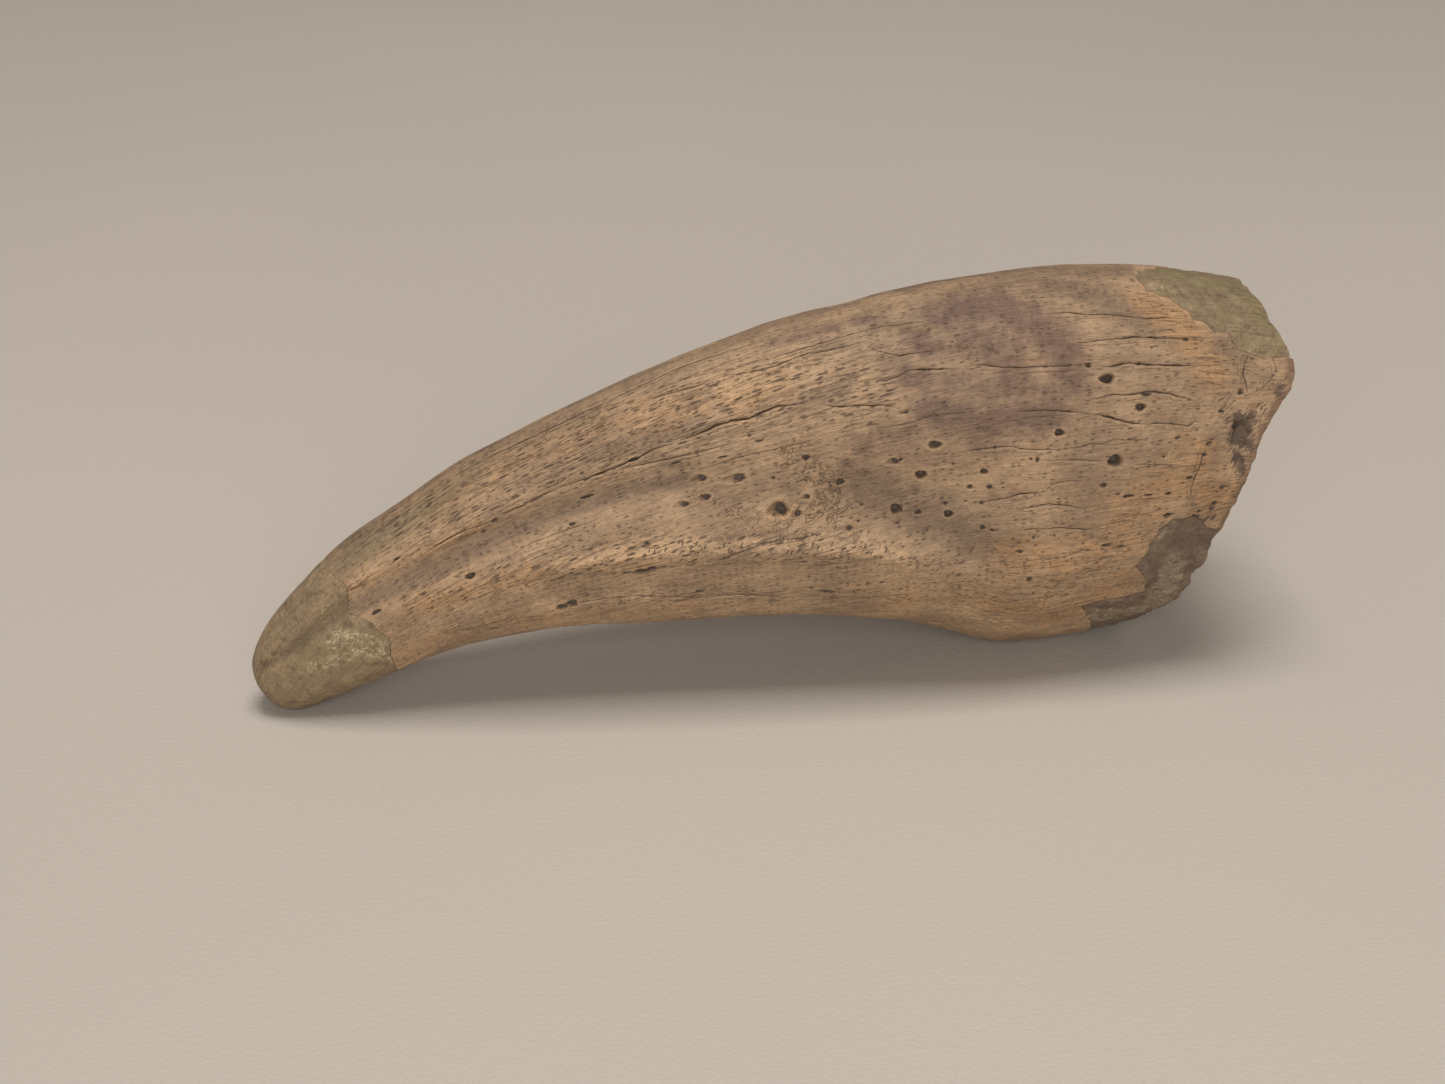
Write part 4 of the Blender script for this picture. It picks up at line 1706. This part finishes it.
def crackled(s, place, speckle, middling, crackle):
    """Thin pale plates between the cracks of a painted patch, and the patch itself."""
    inputs = {"Vector": s.warped(place, 900, 0.0011), "Scale": crackle}
    edges = s.made("ShaderNodeTexVoronoi", "Distance", inputs, feature="DISTANCE_TO_EDGE")
    plates = s.product(s.ranged(edges, 0.15, 0.04), s.ranged(speckle, 0.35, 0.55))
    patch = s.product(s.mask("patch"), s.ranged(middling, 0.35, 0.6, 0.5, 1.3))
    patch = s.ranged(patch, 0.25, 0.75)
    return s.product(plates, patch), patch


def filler_finish(name, main, second, dark, pale, roughness, crackle, lined, flecked):
    """Moulded filler: mottled, with faint lines along the grain, a darker band and a crackled pale patch."""
    s = Shade(name)
    place = s.place()
    broad = s.noise(place, 160, 3, 0.55)
    middling = s.noise(place, 560, 3, 0.6)
    speckle = s.noise(place, 2400, 2, 0.6)
    drawn = s.noise(s.grain(6.0, 0.9, 6), 1.0, 3, 0.6, 0.3)
    flecks, patch = crackled(s, place, speckle, middling, crackle)
    band = s.product(s.mask("band"), s.swing(middling, 0.7, 1.15))
    lines = s.largest(
        s.product(fine_lines(s, 12.0, 1.0, 18, 0.03, 3.0), lined), scattered_dashes(s, 1.1, 0.7, 19, 0.1),
    )

    colour = s.mix(main, second, s.ranged(broad, 0.35, 0.65))
    for tint, share in (
        (dark, s.ranged(middling, 0.48, 0.30, 0.0, 0.7)),
        (pale, s.ranged(middling, 0.54, 0.78, 0.0, 0.3)),
        (FILLER_MOSS, s.product(s.mask("moss"), s.ranged(middling, 0.3, 0.6, 0.4, 0.9))),
        (dark, s.ranged(band, 0.1, 1.1, 0.0, 0.8)),
        (pale, s.product(patch, 0.25)),
        (FILLER_WHITE, s.product(flecks, flecked)),
    ):
        colour = s.mix(colour, tint, share)
    mottled = s.ranged(middling, 0.35, 0.65, 0.95, 1.05, False)
    lightness = s.product(s.swing(speckle, 0.88, 1.12), mottled, s.swing(drawn, 0.95, 1.05))
    s.shader_input("Base Color", s.mix(s.times(colour, lightness), dark, s.product(lines, 0.6)))
    s.shader_input("Roughness", s.ranged(middling, 0.3, 0.7, roughness - 0.07, roughness + 0.08))
    s.shader_input("Specular IOR Level", SOFT_SHINE)
    height = s.total(s.swing(middling, 0.0, 0.2), s.swing(drawn, 0.0, 0.1), s.swing(speckle, 0.0, 0.035))
    height = s.total(height, s.product(flecks, 0.06))
    s.shader_input("Normal", s.bump(s.less(height, s.product(lines, 0.06))))
    return s.material


FLOOR_PALE = linear(174, 167, 158)
FLOOR_SIZE = 3.0


def make_floor():
    s = Shade("table_top")
    place = s.place()
    grain = s.noise(place, 1500, 2, 0.6)
    broad = s.noise(place, 6, 2, 0.5)
    s.shader_input("Base Color", s.times(FLOOR_PALE, s.swing(broad, 0.98, 1.02)))
    s.shader_input("Roughness", 0.7)
    s.shader_input("Specular IOR Level", 0.2)
    s.shader_input("Normal", s.bump(s.swing(grain, 0.0, 0.04)))
    half = FLOOR_SIZE / 2
    corners = [(-half, -half, 0), (half, -half, 0), (half, half, 0), (-half, half, 0)]
    mesh = bpy.data.meshes.new("floor")
    mesh.from_pydata(corners, [], [(0, 1, 2, 3)])
    mesh.materials.append(s.material)
    linked("floor", mesh)


# Lights: name, azimuth and elevation seen from the claw in degrees, distance and side in metres, watts.
LIGHTS = (
    ("overhead", -8.0, 86.0, 0.9, 0.38, 6.3),
    ("front_fill", -12.0, 20.0, 1.2, 1.00, 11.0),
)
LIGHT_COLOUR = (1.0, 0.975, 0.94)
SKY = (0.87, 0.75, 0.69)
SKY_STRENGTH = 0.35


def make_lights():
    for name, azimuth, elevation, distance, side, watts in LIGHTS:
        data = bpy.data.lights.new(name, "AREA")
        data.shape = "SQUARE"
        data.size = side
        data.energy = watts
        data.color = LIGHT_COLOUR
        light = linked(name, data)
        a = math.radians(azimuth)
        e = math.radians(elevation)
        away = Vector((math.sin(a) * math.cos(e), -math.cos(a) * math.cos(e), math.sin(e)))
        light.location = away * distance
        light.rotation_mode = "QUATERNION"
        light.rotation_quaternion = away.to_track_quat("Z", "Y")
    world = bpy.data.worlds.new("studio")
    world.use_nodes = True
    background = world.node_tree.nodes["Background"].inputs
    background["Color"].default_value = (*SKY, 1.0)
    background["Strength"].default_value = SKY_STRENGTH
    bpy.context.scene.world = world
    bpy.context.scene.view_settings.view_transform = "Standard"


# The restored areas, in the order of their seeds. Rows are the last station and the rings for the tip, and
# the first station, the rings and the rings on the joint face for the others. Columns are those of the far
# side and of the near one. The finish is roughness, crackle cells per metre, strength of lines and of flecks.
AREAS = (
    {
        "name": "restored_tip_filler", "node": "restored_tip", "slot": "tip_filler",
        "outline": TIP_OUTLINE, "skew": TIP_SKEW,
        "rows": (5.4, 76), "columns": (50, 90), "relief": tip_relief,
        "band": TIP_BAND_IN_PICTURE, "patch": TIP_PATCH_IN_PICTURE, "moss": TIP_MOSS_IN_PICTURE,
        "colours": (FILLER_OLIVE, FILLER_BROWN, FILLER_DARK, FILLER_PALE), "finish": (0.64, 1000, 0.6, 0.6),
    },
    {
        "name": "restored_upper_filler", "node": "restored_upper_corner", "slot": "upper_filler",
        "outline": UPPER_CORNER_OUTLINE, "skew": UPPER_CORNER_SKEW,
        "rows": (12.0, 52, 14), "columns": (90, 120), "relief": upper_relief,
        "band": UPPER_BAND_IN_PICTURE, "patch": UPPER_PATCH_IN_PICTURE, "moss": UPPER_MOSS_IN_PICTURE,
        "colours": (FILLER_GREEN, FILLER_BROWN, FILLER_DARK, FILLER_PALE), "finish": (0.62, 700, 0.9, 0.5),
    },
    {
        "name": "restored_lower_filler", "node": "restored_lower_corner", "slot": "lower_filler",
        "outline": LOWER_CORNER_OUTLINE, "skew": LOWER_CORNER_SKEW,
        "rows": (11.5, 60, FACE_RING_COUNT), "columns": (90, 120), "relief": lower_relief,
        "band": LOWER_BAND_IN_PICTURE, "patch": LOWER_PATCH_IN_PICTURE, "moss": (),
        "colours": (LOWER_GREY, LOWER_BROWN, LOWER_DARK, LOWER_PALE), "finish": (0.42, 950, 0.4, 0.18),
    },
)


def main():
    make_camera()
    make_floor()
    make_lights()
    skin = Skin()
    caster = Caster()
    make_bone(skin, BoneFeatures(skin, caster), AREAS, bone_finish())
    for seed, area in enumerate(AREAS):
        make_filler(skin, caster, seed, area)


main()
